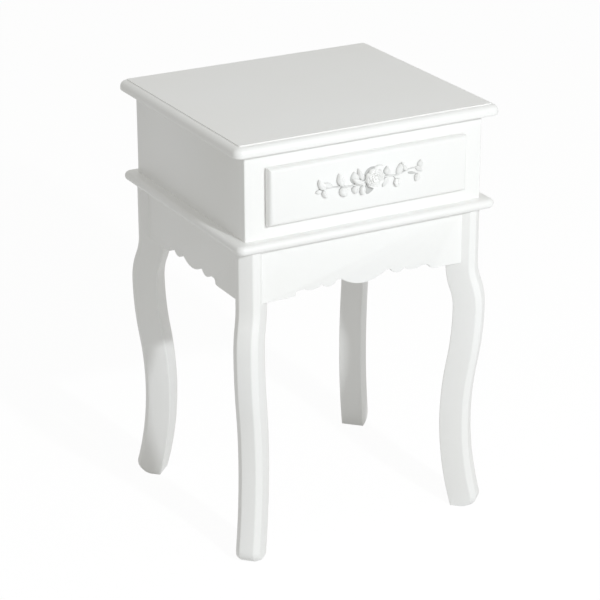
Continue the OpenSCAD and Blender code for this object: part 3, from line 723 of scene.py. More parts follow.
class NIGHTSTAND_OT_case(Operator):
    """Make the painted case: sides, back panel, stiles and rails"""

    bl_idname = "nightstand.case"
    bl_label = "Case"

    def execute(self, context):
        radius = context.scene.nightstand_boards.case_ease
        side_low, side_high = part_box("case_side_left")
        back_low, back_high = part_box("case_back")
        opening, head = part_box("front_rail_top")[1].x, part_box("front_rail_top")[0].z
        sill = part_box("front_rail_bottom")[1].z

        def side_corner(m):
            return abs(m.x) > -side_low.x - HAIR and side_low.z + radius < m.z < side_high.z - radius

        def back_corner(m):
            return m.y > side_high.y - HAIR and back_low.z + radius < m.z < back_high.z - radius

        def stile_edge(m):
            return abs(abs(m.x) - opening) < HAIR and m.y > side_low.y + HAIR and sill < m.z < head

        def head_edge(m):
            return abs(m.z - head) < HAIR and abs(m.x) < HAIR

        def sill_edge(m):
            return abs(m.z - sill) < HAIR and abs(m.x) < HAIR

        for node, share, wanted in (("case_side_left", 1.0, side_corner), ("case_side_right", 1.0, side_corner),
                                    ("case_back", 0.5, back_corner),
                                    ("front_stile_left", 0.5, stile_edge), ("front_stile_right", 0.5, stile_edge),
                                    ("front_rail_top", 0.5, head_edge), ("front_rail_bottom", 0.5, sill_edge)):
            add_eased("painted", node, radius * share, "paint", wanted)
        return {"FINISHED"}


class NIGHTSTAND_OT_drawer_front(Operator):
    """Make the drawer front with its rounded and mitred face edges"""

    bl_idname = "nightstand.drawer_front"
    bl_label = "Drawer Front"

    def execute(self, context):
        sizes = context.scene.nightstand_drawer
        low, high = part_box("drawer_front")
        bm = bmesh.new()
        middle = Matrix.Translation((low + high) / 2)
        bmesh.ops.create_cube(bm, size=1.0, matrix=middle @ Matrix.Diagonal((*(high - low), 1.0)))
        ease(bm, [e for e in bm.edges if all(v.co.y > high.y - HAIR for v in e.verts)], sizes.back_ease)
        ease(bm, [e for e in bm.edges if all(v.co.y < low.y + HAIR for v in e.verts)], sizes.front_round, 10)
        add_piece("painted_drawer_front", to_mesh(bm, "drawer_front"), "paint", "drawer_front")
        return {"FINISHED"}


# One arc of a scalloped line: place of its middle, width, heights of its roots and of its lowest point, radius
Disc = namedtuple("Disc", "x wide root rise radius")
ARC_STEPS = 14


def arc_radius(chord, sag):
    """Radius of an arc from its chord and its sag."""
    return ((chord / 2) ** 2 + sag ** 2) / (2 * sag)


def meeting(left, right):
    """Distance at which the lower arcs of two neighbouring discs meet, found by halving."""
    def low(disc, x):
        return disc.rise + disc.radius - math.sqrt(disc.radius ** 2 - (x - disc.x) ** 2)

    # The far end stays just inside the left disc, where its arc still has a height
    a, b = left.x, min(right.x, left.x + left.radius * 0.999)
    for _ in range(50):
        middle = (a + b) / 2
        if low(left, middle) < low(right, middle):
            a = middle
        else:
            b = middle
    return (a + b) / 2


def scallop_line(lobe, notch, bumps, bump_width, outer_notch, end, slope=0.0):
    """Half of an apron's lower line from the middle outwards, as distances and heights.

    Its outer notch ends in a soft step, or where a width is given for it, in a gentle slope.
    """
    rows = [(0.0, lobe, notch, 0.0)] + [(x, bump_width, root, rise) for x, root, rise in bumps]
    discs = [Disc(x, wide, root, rise, arc_radius(wide, root - rise)) for x, wide, root, rise in rows]
    line = []
    start = 0.0
    for disc, following in zip(discs, discs[1:] + discs[-1:]):
        if disc.root == following.root:
            stop, next_start = disc.x + disc.wide / 2, following.x - following.wide / 2
        else:
            stop = next_start = meeting(disc, following)
        first, last = (math.asin((s - disc.x) / disc.radius) for s in (start, stop))
        line += [(disc.x + disc.radius * math.sin(a), disc.rise + disc.radius - disc.radius * math.cos(a))
                 for a in steps(first, last, ARC_STEPS)]
        start = next_start
    if slope:
        return line + [(end + slope * (s - 0.5), outer_notch * (1 + math.cos(math.pi * s)) / 2)
                       for s in steps(0.0, 1.0, 12)]
    # A hollow quarter round from the top of the notch, then a round corner down to the straight end
    hollow, corner = outer_notch * 0.56, outer_notch * 0.44
    quarter = steps(0.0, QUARTER, 6)
    line += [(end - hollow * (1 - math.sin(a)), outer_notch - hollow * (1 - math.cos(a))) for a in quarter]
    return line + [(end + corner * (1 - math.cos(a)), corner * (1 - math.sin(a))) for a in quarter[1:]]


def apron_mesh(node, left_line, right_line, turn, radius):
    """An apron from its lower lines: its front face is wider than its back by the mitres at the legs."""
    low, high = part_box(node)
    along, across = (1, 0) if turn % 180 else (0, 1)
    wide = high[along]
    thick = high[across] - low[across]
    face = max(abs(low[across]), abs(high[across]))
    bm = bmesh.new()
    loops = []
    for half, depth in ((wide, face), (wide - thick, face - thick)):
        left, right = (line + [(half, 0.0), (half, high.z - low.z)] for line in (left_line, right_line))
        points = right + [(-x, z) for x, z in reversed(left) if x > 0]
        loops.append([bm.verts.new((x, -depth, low.z + z)) for x, z in points])
    front, back = loops
    bm.faces.new(front)
    bm.faces.new(back[::-1])
    for i in range(len(front)):
        bm.faces.new((front[i], front[i - 1], back[i - 1], back[i]))
    bmesh.ops.remove_doubles(bm, verts=bm.verts, dist=HAIR)
    ease(bm, [e for e in bm.edges if all(v.co.z < high.z - HAIR for v in e.verts)
              and abs(e.verts[0].co.y - e.verts[1].co.y) < HAIR
              and max(abs(v.co.x) for v in e.verts) < wide - thick - HAIR], radius)
    bm.transform(Matrix.Rotation(math.radians(turn), 4, "Z"))
    return to_mesh(bm, node)


class NIGHTSTAND_OT_aprons(Operator):
    """Make the four scalloped aprons"""

    bl_idname = "nightstand.aprons"
    bl_label = "Aprons"

    def execute(self, context):
        sizes = context.scene.nightstand_aprons
        bumps = [(sizes.front_bump, sizes.front_notch, sizes.front_rise),
                 (sizes.front_outer, sizes.outer_notch, sizes.front_rise)]
        front, gentle = (scallop_line(sizes.front_lobe, sizes.front_notch, bumps, sizes.bump_width,
                                      sizes.outer_notch, sizes.front_end, slope) for slope in (0.0, sizes.slope))
        side = scallop_line(sizes.side_lobe, sizes.side_notch,
                            [(sizes.side_bump, sizes.side_notch, sizes.side_rise)],
                            sizes.bump_width, sizes.outer_notch, sizes.side_end)
        for node, turn, left, right in (("apron_front", 0, front, gentle), ("apron_back", 180, front, front),
                                        ("apron_left", -90, side, side), ("apron_right", 90, side, side)):
            mesh = apron_mesh(node, left, right, turn, sizes.ease)
            add_piece("painted_" + node, mesh, "paint", node)
        return {"FINISHED"}


def swing(tall, wide):
    """Angle and radius of two equal arcs that swing by a width over a height."""
    angle = 2 * math.atan(wide / tall)
    return angle, tall / (2 * math.sin(angle))


def leg_outline(sizes, top):
    """Pairs of an outer and an inner point from the top of a leg to its sole: distance inwards, height."""
    half = sizes.depth / 2
    middle = sizes.setback + half
    knee = middle - sizes.knee_out
    upper_angle, upper = swing(sizes.neck - sizes.knee, sizes.knee_out)
    lower_angle, lower = swing(sizes.knee - sizes.ankle, sizes.ankle_in)
    foot = (knee + sizes.ankle_in - lower, sizes.ankle)

    def bend(centre, radius, side, leans):
        """Pairs along an arc about a centre, which lies inwards for a side of -1 and outwards for 1."""
        pairs = []
        for lean in leans:
            polar = (0.0 if side > 0 else math.pi) - lean
            pairs.append([(centre[0] + r * math.cos(polar), centre[1] + r * math.sin(polar))
                          for r in (radius - side * half, radius + side * half)])
        return pairs

    reach = lower - half + sizes.toe
    drop = sizes.ankle - sizes.toe
    toe = (foot[0] + math.sqrt(reach ** 2 - drop ** 2), sizes.toe)
    toe_angle = math.asin(drop / reach)
    heel_angle = math.asin(sizes.ankle / (lower + half))
    pairs = [[(sizes.setback, z), (sizes.setback + sizes.depth, z)] for z in steps(top, sizes.neck, 4)[:-1]]
    pairs += bend((middle - upper, sizes.neck), upper, 1, steps(0.0, upper_angle, 10))
    pairs += bend((knee + upper, sizes.knee), upper, -1, steps(upper_angle, 0.0, 10)[1:])
    pairs += bend((knee + lower, sizes.knee), lower, -1, steps(0.0, -lower_angle, 20)[1:])
    pairs += bend(foot, lower, 1, steps(-lower_angle, toe_angle, 36)[1:])
    for share in steps(0.0, 1.0, 14)[1:]:
        turn = math.pi - toe_angle + (QUARTER + toe_angle) * share
        heel = -toe_angle - (heel_angle - toe_angle) * share
        pairs.append([(toe[0] + sizes.toe * math.cos(turn), toe[1] + sizes.toe * math.sin(turn)),
                      (foot[0] + (lower + half) * math.cos(heel), foot[1] + (lower + half) * math.sin(heel))])
    return pairs


def leg_ring(pair, sizes):
    """One ring round a leg at a pair of points, with bevelled outer edges and eased inner ones."""
    outer, inner = Vector(pair[0]), Vector(pair[1])
    run = (inner - outer).length
    way = (inner - outer) / run
    half = sizes.thickness / 2
    cut = min(sizes.bevel, run / 2)
    right = [(0.0, half - cut, sizes.bevel_ease), (cut, half, sizes.bevel_ease), (run, half, sizes.back_ease)]
    corners = [(depth, -side, reach) for depth, side, reach in reversed(right)] + right
    ring = []
    for i, (depth, side, reach) in enumerate(corners):
        here = Vector((depth, side))
        before = (Vector(corners[i - 1][:2]) - here).normalized() * reach
        after = (Vector(corners[(i + 1) % len(corners)][:2]) - here).normalized() * reach
        for share in steps(0.0, 1.0, 4):
            spot = here + before * (1 - share) ** 2 + after * share ** 2
            at = outer + way * spot.x
            ring.append((at.x, spot.y, at.y))
    return ring


class NIGHTSTAND_OT_legs(Operator):
    """Make the four curved legs"""

    bl_idname = "nightstand.legs"
    bl_label = "Legs"

    def execute(self, context):
        sizes = context.scene.nightstand_legs
        outer, front = (abs(c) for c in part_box("case_side_left")[0].xy)
        for name, (sx, sy) in CORNERS.items():
            node = "leg_" + name
            bm = bmesh.new()
            rings = [[bm.verts.new(p) for p in leg_ring(pair, sizes)]
                     for pair in leg_outline(sizes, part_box(node)[1].z)]
            bridge(bm, rings)
            bm.faces.new(rings[0])
            bm.faces.new(rings[-1])
            corner = Matrix.Translation((sx * outer, sy * front, 0.0))
            bm.transform(corner @ Matrix.Rotation(math.atan2(-sy, -sx), 4, "Z"))
            add_piece("painted_" + node, to_mesh(bm, node), "paint", node)
        return {"FINISHED"}


class Carver:
    """Adds closed shells to one carving: x across the drawer front, y up, and z out of it."""

    LEAF_ROWS, LEAF_COLUMNS = 32, 20
    PETAL_ROWS, PETAL_COLUMNS = 16, 18
    DOME_RINGS, DOME_SPOKES = 12, 40
    STEM_SIDES = 12
    # A leaf's teeth along its rim and veins along its rib, and the turn of a dome's groove in radians
    TEETH, VEINS = 7.0, 6
    GROOVE_TURN = 9.0
    # Half widths of a leaf at its stalk and at its tip, and the least height of a petal, in metres
    STALK, TIP, THIN = 0.0005, 0.00008, 0.0006
    # Height of a leaf's rim and of its middle over the rim, as shares of its height
    RIM, CROWN = 0.36, 0.60
    # Widths of a leaf's and a petal's foot, as shares of the shape above it
    LEAF_FOOT, PETAL_FOOT = 0.97, 0.93

    def __init__(self):
        self.bm = bmesh.new()

    def shell(self, rows):
        """A closed shell from rows of pairs: a point of its top, and one of its flat foot."""
        upper, lower = ([[self.bm.verts.new(pair[part]) for pair in row] for row in rows] for part in (0, 1))
        last_row, last = len(rows) - 1, len(rows[0]) - 1
        for i in range(last_row):
            for k in range(last):
                self.bm.faces.new((upper[i][k], upper[i + 1][k], upper[i + 1][k + 1], upper[i][k + 1]))
                self.bm.faces.new((lower[i][k], lower[i][k + 1], lower[i + 1][k + 1], lower[i + 1][k]))
        for i in range(last_row):
            for k, turn in ((0, 1), (last, -1)):
                wall = (upper[i][k], lower[i][k], lower[i + 1][k], upper[i + 1][k])
                self.bm.faces.new(wall[::turn])
        for k in range(last):
            for i, turn in ((0, -1), (last_row, 1)):
                wall = (upper[i][k], lower[i][k], lower[i][k + 1], upper[i][k + 1])
                self.bm.faces.new(wall[::turn])

    def leaf(self, foot, length, width, direction, bend, lean, heights):
        """A plump pointed leaf with steep sides, a sunken rib and faint veins.

        It bends as it runs, leans to a side, and has a height at its foot and one at its tip.
        """
        rows = []
        at = Vector(foot)
        for s in steps(0.0, 1.0, self.LEAF_ROWS):
            turn = math.radians(direction) + bend * (s - 0.5)
            way = Vector((math.cos(turn), math.sin(turn)))
            side = Vector((-way.y, way.x))
            # Widest a little before its middle, toothed along its rim, and low at both ends
            bulge = math.sin(math.pi * s ** 0.85)
            teeth = 1.0 + 0.05 * (1.0 - (s * self.TEETH) % 1.0) * bulge
            half = self.STALK * (1.0 - s) + self.TIP + width / 2 * max(0.0, bulge) ** 0.7 * teeth
            rise = (heights[0] + (heights[1] - heights[0]) * s) * (1.0 - 0.55 * abs(2 * s - 1) ** 5)
            row = []
            for u in steps(-1.0, 1.0, self.LEAF_COLUMNS):
                # The columns lie closer together towards the steep sides, and the veins slant to the tip
                t = math.sin(QUARTER * u)
                round_top = max(0.0, 1 - t * t) ** 0.5
                rib = -0.14 * math.exp(-(t / 0.15) ** 2) * (1 - 0.7 * s)
                vein = 0.03 * math.cos(2 * math.pi * (self.VEINS * s - 1.3 * abs(t))) * (1 - t * t)
                height = rise * max(0.02, self.RIM + round_top * (self.CROWN + rib + vein) + lean * t)
                spot, under = at + side * (half * t), at + side * (half * t * self.LEAF_FOOT)
                row.append(((spot.x, spot.y, height), (under.x, under.y, 0.0)))
            rows.append(row)
            at = at + way * (length / self.LEAF_ROWS)
        self.shell(rows)

    def petal(self, centre, turn, inner, outer, spread, heights, curl, twist):
        """A petal that opens from a centre: heights are those of its inner end, its hollow and its rim."""
        root, dip, rim = heights
        rows = []
        for s in steps(0.0, 1.0, self.PETAL_ROWS):
            row = []
            for t in steps(-1.0, 1.0, self.PETAL_COLUMNS):
                # The rim rounds off at its sides and has a small nick in its middle
                edge = 1.0 - 0.20 * abs(t) ** 3 - 0.05 * math.exp(-(t / 0.22) ** 2)
                reach = inner + (outer * edge - inner) * s
                # It fans out from three quarters of its spread to all of it
                angle = turn + spread * t * (0.75 + 0.25 * math.sin(QUARTER * s))
                # It rises through a hollow to its rim, and curls down over its last fifth
                hollow = math.sin(math.pi * min(1.0, s / 0.9))
                height = root + (rim - root) * s ** 1.4
                height += (dip - (root + rim) / 2) * hollow * (1 - 0.4 * abs(t))
                height -= curl * max(0.0, (s - 0.82) / 0.18) ** 2
                height += twist * t - 0.0002 * abs(t) ** 4
                under = inner + (reach - inner) * self.PETAL_FOOT
                row.append((about(centre, reach, angle, max(self.THIN, height)), about(centre, under, angle, 0.0)))
            rows.append(row)
        self.shell(rows)

    def dome(self, centre, radius, height, spiral):
        """A round mound with a spiral groove."""
        rings = []
        for s in steps(0.0, 1.0, self.DOME_RINGS)[1:]:
            ring = []
            winding = self.GROOVE_TURN * s
            for k in range(self.DOME_SPOKES):
                angle = 2 * math.pi * k / self.DOME_SPOKES
                wave = spiral * math.cos(angle - winding) * math.sin(math.pi * s)
                lift = height * math.sqrt(max(0.0, 1 - 0.82 * s * s)) * (1 + wave)
                ring.append(about(centre, radius * s, angle, lift))
            rings.append(ring)
        rings.append([(x, y, 0.0) for x, y, _ in rings[-1]])
        tip = self.bm.verts.new((*centre, height))
        rings = [[self.bm.verts.new(p) for p in ring] for ring in rings]
        root = self.bm.verts.new((*centre, 0.0))
        for end, ring in ((tip, rings[0]), (root, rings[-1])):
            for k in range(len(ring)):
                self.bm.faces.new((end, ring[k - 1], ring[k]))
        bridge(self.bm, rings)

    def flower(self, centre, radius, relief, rings, heart):
        """Rings of petals round a grooved mound, whose radius, height and groove the heart gives as shares."""
        for count, first, inner, outer, spread, heights, curl in rings:
            for i in range(count):
                self.petal(centre, math.radians(first + 360 * i / count), radius * inner, radius * outer,
                           math.radians(spread), [relief * h for h in heights], relief * curl, relief * 0.05)
        self.dome(centre, radius * heart[0], relief * heart[1], heart[2])

    def stem(self, points, radius, tip_radius):
        """A half-round stem along a smooth line through points, thinner at its end."""
        route = smooth_line([Vector(p) for p in points], 8)
        last = len(route) - 1
        rings = []
        for i, at in enumerate(route):
            way = (route[min(i + 1, last)] - route[max(i - 1, 0)]).normalized()
            side = Vector((-way.y, way.x))
            r = radius + (tip_radius - radius) * (i / last)
            ring = []
            for angle in steps(0.0, math.pi, self.STEM_SIDES - 1):
                spot = at + side * (r * math.cos(angle))
                ring.append(self.bm.verts.new((spot.x, spot.y, STEM_HEIGHT * r * math.sin(angle))))
            rings.append(ring)
        bridge(self.bm, rings)
        self.bm.faces.new(rings[0])
        self.bm.faces.new(rings[-1])


def about(centre, reach, angle, height):
    """A point at a reach and an angle from a centre, at a height."""
    return centre[0] + reach * math.cos(angle), centre[1] + reach * math.sin(angle), height


def smooth_line(points, count):
    """A smooth line through points, with a number of steps between each two."""
    ends = [2 * points[0] - points[1]] + points + [2 * points[-1] - points[-2]]
    line = []
    for a, b, c, d in zip(ends, ends[1:], ends[2:], ends[3:]):
        for k in range(count):
            t = k / count
            line.append(0.5 * ((2 * b) + (c - a) * t + (2 * a - 5 * b + 4 * c - d) * t ** 2
                               + (3 * b - a - 3 * c + d) * t ** 3))
    return line + [points[-1]]


# Places of the carving in millimetres from the middle of the drawer front
ROSE_AT = (4.0, 4.0)
BUD_AT = (39.5, -8.0)
STEMS = ([(-2, 2), (-16, 1), (-30, -2), (-45, 0), (-60, 1), (-75, 0), (-80, -1.5)],
         [(10, 2), (25, 3), (36, 2), (48, 4), (58, 7), (71, 8)],
         [(34, 2), (37, -2), (38.5, -6)])
# A stem's height and the radius of its thin end, as shares of its radius
STEM_HEIGHT, STEM_END = 2.1, 0.6
# Leaves: foot x and y, length, width, direction in degrees, bend, lean, and shares of the relief at foot and
# tip. The very low ones lie below the rose, at its upper left and among the right leaves, where the
# painted shade of the hollows greys them into dark patches that stand in for shade
LEAVES = [(-69.5, 1, 17, 8, 124, -0.8, -0.05, 1.0, 0.95), (-75, -1, 9, 5, 188, -0.2, 0.1, 0.5, 0.35),
          (-72.5, -1.5, 11.5, 6.5, -60, 0.4, 0.1, 0.9, 0.75), (-58, 2.5, 18, 6, 163, 0.1, 0.2, 0.4, 0.5),
          (-42.5, 1, 18.5, 9.5, 109, -0.6, -0.1, 0.9, 1.1), (-44, -1, 14, 11, -72, 0.3, 0.15, 1.1, 1.05),
          (-24, 0, 17, 12, 97, -0.1, -0.4, 0.30, 0.34), (-13, -0.5, 19, 7, 152, -0.4, -0.2, 1.15, 1.15),
          (-13, 4, 18, 6, 113, -0.3, -0.2, 0.8, 1.05), (-24.5, -3, 10, 8, -98, 0.2, 0.4, 1.1, 0.7),
          (-12.5, -4, 13, 6.5, -100, 0.3, 0.1, 0.9, 1.0), (1, -2, 17, 13, -114, 0.2, 0.0, 0.09, 0.07),
          (-9, 7.5, 19, 6.5, 36, -0.9, 0.0, 0.09, 0.07), (4, 16.5, 14, 4.5, 9, -0.1, 0.0, 0.75, 0.5),
          (22.5, 5, 12, 8.5, 84, 0.2, -0.45, 0.4, 0.9), (24, 2, 15, 7, -118, -0.4, 0.1, 0.5, 0.25),
          (39.5, 1.5, 16.5, 7.5, 76, 0.4, -0.3, 0.3, 0.9), (55, 5.5, 16, 6, 125, -0.3, -0.1, 0.4, 1.2),
          (56.5, 2, 13, 2.6, -12, -0.2, 0.0, 0.1, 0.12), (71, -1, 11, 7, -108, -0.3, 0.2, 1.1, 0.6),
          (73.5, 7, 10.5, 7.5, 78, 0.1, -0.3, 0.3, 0.95), (68, 8, 13, 6, -35, -0.3, 0.15, 0.35, 0.3)]
# Rings of petals as shares of a flower's radius and relief: count, first turn in degrees, inner and outer
# reach, half spread in degrees, heights of the inner end, the hollow and the rim, curl
ROSE_PETALS = [(5, 100, 0.25, 1.0, 41, (0.60, 0.44, 0.80), 0.55),
               (5, 64, 0.20, 0.78, 42, (0.68, 0.52, 0.87), 0.10),
               (4, 20, 0.14, 0.57, 50, (0.76, 0.60, 0.93), 0.08),
               (3, 75, 0.08, 0.37, 64, (0.82, 0.68, 0.98), 0.06)]
BUD_PETALS = [(3, 30, 0.1, 1.0, 66, (0.60, 0.52, 0.50), 0.18)]
# The middle of each flower: radius, height and depth of its groove
ROSE_HEART = (0.2, 0.93, 0.12)
BUD_HEART = (0.42, 0.68, 0.10)


class NIGHTSTAND_OT_garland(Operator):
    """Carve the rose garland: rose, bud, leaves and stems"""

    bl_idname = "nightstand.garland"
    bl_label = "Rose Garland"

    def execute(self, context):
        sizes = context.scene.nightstand_carving
        low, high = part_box("rose_garland")
        relief = high.y - low.y - HAIR
        carver = Carver()
        for route in STEMS:
            carver.stem([(x * MM, y * MM) for x, y in route], sizes.stem_radius, sizes.stem_radius * STEM_END)
        for x, y, length, width, direction, bend, lean, foot, tip in LEAVES:
            carver.leaf((x * MM, y * MM), length * MM, width * MM, direction, bend, lean,
                        (sizes.leaf_relief * foot, sizes.leaf_relief * tip))
        carver.flower(Vector(ROSE_AT) * MM, sizes.rose_radius, relief, ROSE_PETALS, ROSE_HEART)
        carver.flower(Vector(BUD_AT) * MM, sizes.bud_radius, relief, BUD_PETALS, BUD_HEART)
        front_low, front_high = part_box("drawer_front")
        middle = (front_low.z + front_high.z) / 2
        carver.bm.transform(Matrix(((1, 0, 0, 0), (0, 0, -1, high.y), (0, 1, 0, middle), (0, 0, 0, 1))))
        add_piece("carved_rose_garland", to_mesh(carver.bm, "rose_garland"), "carved_paint", "rose_garland",
                  CARVED_SHARP)
        return {"FINISHED"}


class NIGHTSTAND_OT_inner_timber(Operator):
    """Make the bare timber in the case: corner blocks, cleats, runners and the drawer stop"""

    bl_idname = "nightstand.inner_timber"
    bl_label = "Inner Timber"

    def execute(self, context):
        radius = context.scene.nightstand_drawer.timber_ease
        for finish, nodes in (("leg_timber", ["block_" + name for name in CORNERS]),
                              ("runner_timber", ["cleat_left", "cleat_right", "runner_left", "runner_right"]),
                              ("stop_timber", ["drawer_stop"])):
            for node in nodes:
                add_eased("eased", node, radius, finish)
        return {"FINISHED"}


class NIGHTSTAND_OT_drawer_box(Operator):
    """Make the bare drawer box"""

    bl_idname = "nightstand.drawer_box"
    bl_label = "Drawer Box"

    def execute(self, context):
        radius = context.scene.nightstand_drawer.box_ease
        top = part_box("drawer_side_left")[1].z
        for node, finish in (("drawer_side_left", "side_board"), ("drawer_side_right", "side_board"),
                             ("drawer_inner_front", "cross_board"), ("drawer_back", "cross_board")):
            add_eased("eased", node, radius, finish, lambda m: m.z > top - HAIR)
        add_eased("veneered", "drawer_bottom", radius / 6, "panel_board")
        return {"FINISHED"}


class Turnery(GeometryTree):
    """A geometry tree for a small round part that is built along +Z."""

    def rod(self, radius, start, length, sides=24):
        """A plain rod."""
        made = self.node("GeometryNodeMeshCylinder", {"Vertices": sides, "Radius": radius, "Depth": length},
                         fill_type="NGON")
        return self.lifted(made, start + length * 0.5)

    def cone(self, low, high, start, length, sides=32):
        """A cone or a taper."""
        made = self.node("GeometryNodeMeshCone", {"Vertices": sides, "Radius Top": high, "Radius Bottom": low,
                                                  "Depth": length}, fill_type="NGON")
        return self.lifted(made, start)

    def thread(self, radius, depth, pitch, start, length):
        """A thread of the given depth round a core, as a swept helix."""
        helix = self.node("GeometryNodeCurveSpiral",
                          {"Resolution": 14, "Rotations": length / pitch, "Start Radius": radius - depth,
                           "End Radius": radius - depth, "Height": length})
        helix = self.node("GeometryNodeSetCurveNormal", {"Curve": helix}, mode="Z_UP")
        ridge = self.circle(depth, 3)
        ridge = self.node("GeometryNodeTransform", {"Geometry": ridge, "Rotation": (0.0, 0.0, QUARTER)})
        return self.lifted(self.swept(helix, ridge, capped=True), start)

    def circle(self, radius, count):
        """A circle of a number of points."""
        return self.node("GeometryNodeCurvePrimitiveCircle", {"Resolution": count, "Radius": radius},
                         mode="RADIUS")

    def swept(self, path, section, capped=False, **more):
        """A section swept along a path."""
        return self.node("GeometryNodeCurveToMesh", {"Curve": path, "Profile Curve": section,
                                                     "Fill Caps": capped, **more})

    def joined(self, *shapes):
        """Several shapes as one geometry."""
        return self.node("GeometryNodeJoinGeometry", {0: list(shapes)})

    def boolean(self, operation, shapes, base=None):
        """The union or intersection of shapes, or a base less the shapes."""
        sockets = {1: shapes} if base is None else {0: base, 1: shapes}
        return self.node("GeometryNodeMeshBoolean", sockets, operation=operation, solver="EXACT")

    def end_on_points(self, shape, finish):
        """Puts a shape at each point, along the point's direction and with a random turn, and ends the tree."""
        along = self.node("GeometryNodeInputNamedAttribute", {"Name": "along"}, data_type="FLOAT_VECTOR")
        lean = self.node("FunctionNodeAlignRotationToVector", {"Vector": along}, axis="Z")
        chance = self.node("FunctionNodeRandomValue", {2: 0.0, 3: 2 * math.pi, "Seed": self.value["Seed"]}, out=1,
                           data_type="FLOAT")
        spin = self.node("FunctionNodeAxisAngleToRotation", {"Axis": (0.0, 0.0, 1.0), "Angle": chance})
        turn = self.node("FunctionNodeRotateRotation", {"Rotation": lean, "Rotate By": spin},
                         rotation_space="LOCAL")
        made = self.node("GeometryNodeInstanceOnPoints",
                         {"Points": self.value["Geometry"], "Instance": shape, "Rotation": turn})
        return self.end(made, finish)


def add_small_parts(name, node, tree, finish, inputs, starts, ways):
    """Shows a small part, grown at each start and along its way, in place of a CAD node."""
    add_piece(name, grow(name, tree, inputs, starts, ways), finish, node, SMALL_SHARP)


def add_pins(look, nodes, make_tree, finish, inputs):
    """Shows one kind of screw or dowel in place of each solid of some CAD nodes, all from one tree."""
    tree = None
    for node in nodes:
        starts, ways, lengths = zip(*(axis_of(solid) for solid in solids_of(node)))
        inputs.update({"Length": lengths[0], "Seed": len(node)})
        tree = tree or make_tree(inputs)
        add_small_parts(look + "_" + node, node, tree, finish, inputs, starts, ways)


class NIGHTSTAND_OT_screws(Operator):
    """Make the countersunk screws with their cross recesses and threads"""

    bl_idname = "nightstand.screws"
    bl_label = "Screws"

    def execute(self, context):
        sizes = context.scene.nightstand_fasteners
        nodes = ("top_screws", "waist_screws", "block_screws", "back_screws", "runner_screws", "stop_screw",
                 "front_screws")
        add_pins("plated", nodes, self.tree, "zinc", {"Head": sizes.head, "Head Height": sizes.head_height,
                                                      "Shank": sizes.shank, "Pitch": sizes.pitch})
        return {"FINISHED"}

    def tree(self, inputs):
        """A screw along +Z with its flat head face at the point."""
        tree = Turnery("cross_head_screw", inputs)
        head, tall, shank, pitch, length = tree.values("Head", "Head Height", "Shank", "Pitch", "Length")
        # Height of the straight rim round the head, and radius of the tip, in metres
        rim, fine = 0.00035, 0.0002
        radius, core = head * 0.5, shank * 0.36
        point = shank * 0.9
        body = length - point
        solid = tree.boolean("UNION", [tree.rod(radius, 0.0, rim, 32),
                                       tree.cone(radius, shank * 0.5, rim, tall - rim)])
        blade = tree.node("GeometryNodeMeshCube", {"Size": tree.vector(head * 0.56, head * 0.13, tall * 1.1)})
        blades = [tree.node("GeometryNodeTransform", {"Geometry": blade, "Rotation": (0.0, 0.0, turn)})
                  for turn in (0.0, QUARTER)]
        solid = tree.boolean("DIFFERENCE", blades, solid)
        shape = tree.joined(solid, tree.rod(core, tall * 0.8, body - tall * 0.8, 16),
                            tree.cone(core, fine, body, point, 16),
                            tree.thread(shank * 0.5, shank * 0.2, pitch, tall * 1.6, body - tall * 1.6))
        return tree.end_on_points(shape, "zinc")


class NIGHTSTAND_OT_dowels(Operator):
    """Make the fluted dowels"""

    bl_idname = "nightstand.dowels"
    bl_label = "Dowels"

    def execute(self, context):
        diameter = context.scene.nightstand_fasteners.dowel
        add_pins("fluted", ("frame_dowels", "drawer_dowels"), self.tree, "dowel_timber",
                 {"Diameter": diameter, "Flutes": 18})
        return {"FINISHED"}

    def tree(self, inputs):
        """A dowel along +Z: a star section swept along it, with chamfered ends."""
        tree = Turnery("fluted_dowel", inputs)
        diameter, length, flutes = tree.values("Diameter", "Length", "Flutes")
        radius = diameter * 0.5
        star = tree.node("GeometryNodeCurveStar", {"Points": flutes, "Inner Radius": radius * 0.94,
                                                   "Outer Radius": radius, "Twist": 0.0})
        line = tree.node("GeometryNodeCurvePrimitiveLine", {"Start": (0.0, 0.0, 0.0),
                                                            "End": tree.vector(z=length)})
        line = tree.node("GeometryNodeResampleCurve", {"Curve": line, "Count": 24}, mode="COUNT")
        along = tree.node("GeometryNodeSplineParameter", out="Length")
        chamfer = tree.math("MINIMUM", along, length - along) / (radius * 0.25)
        chamfer = 0.75 + tree.math("MINIMUM", chamfer, 1.0) * 0.25
        line = tree.node("GeometryNodeSetCurveRadius", {"Curve": line, "Radius": chamfer})
        shape = tree.swept(line, star, capped=True, Scale=tree.node("GeometryNodeInputRadius"))
        return tree.end_on_points(shape, "dowel_timber")


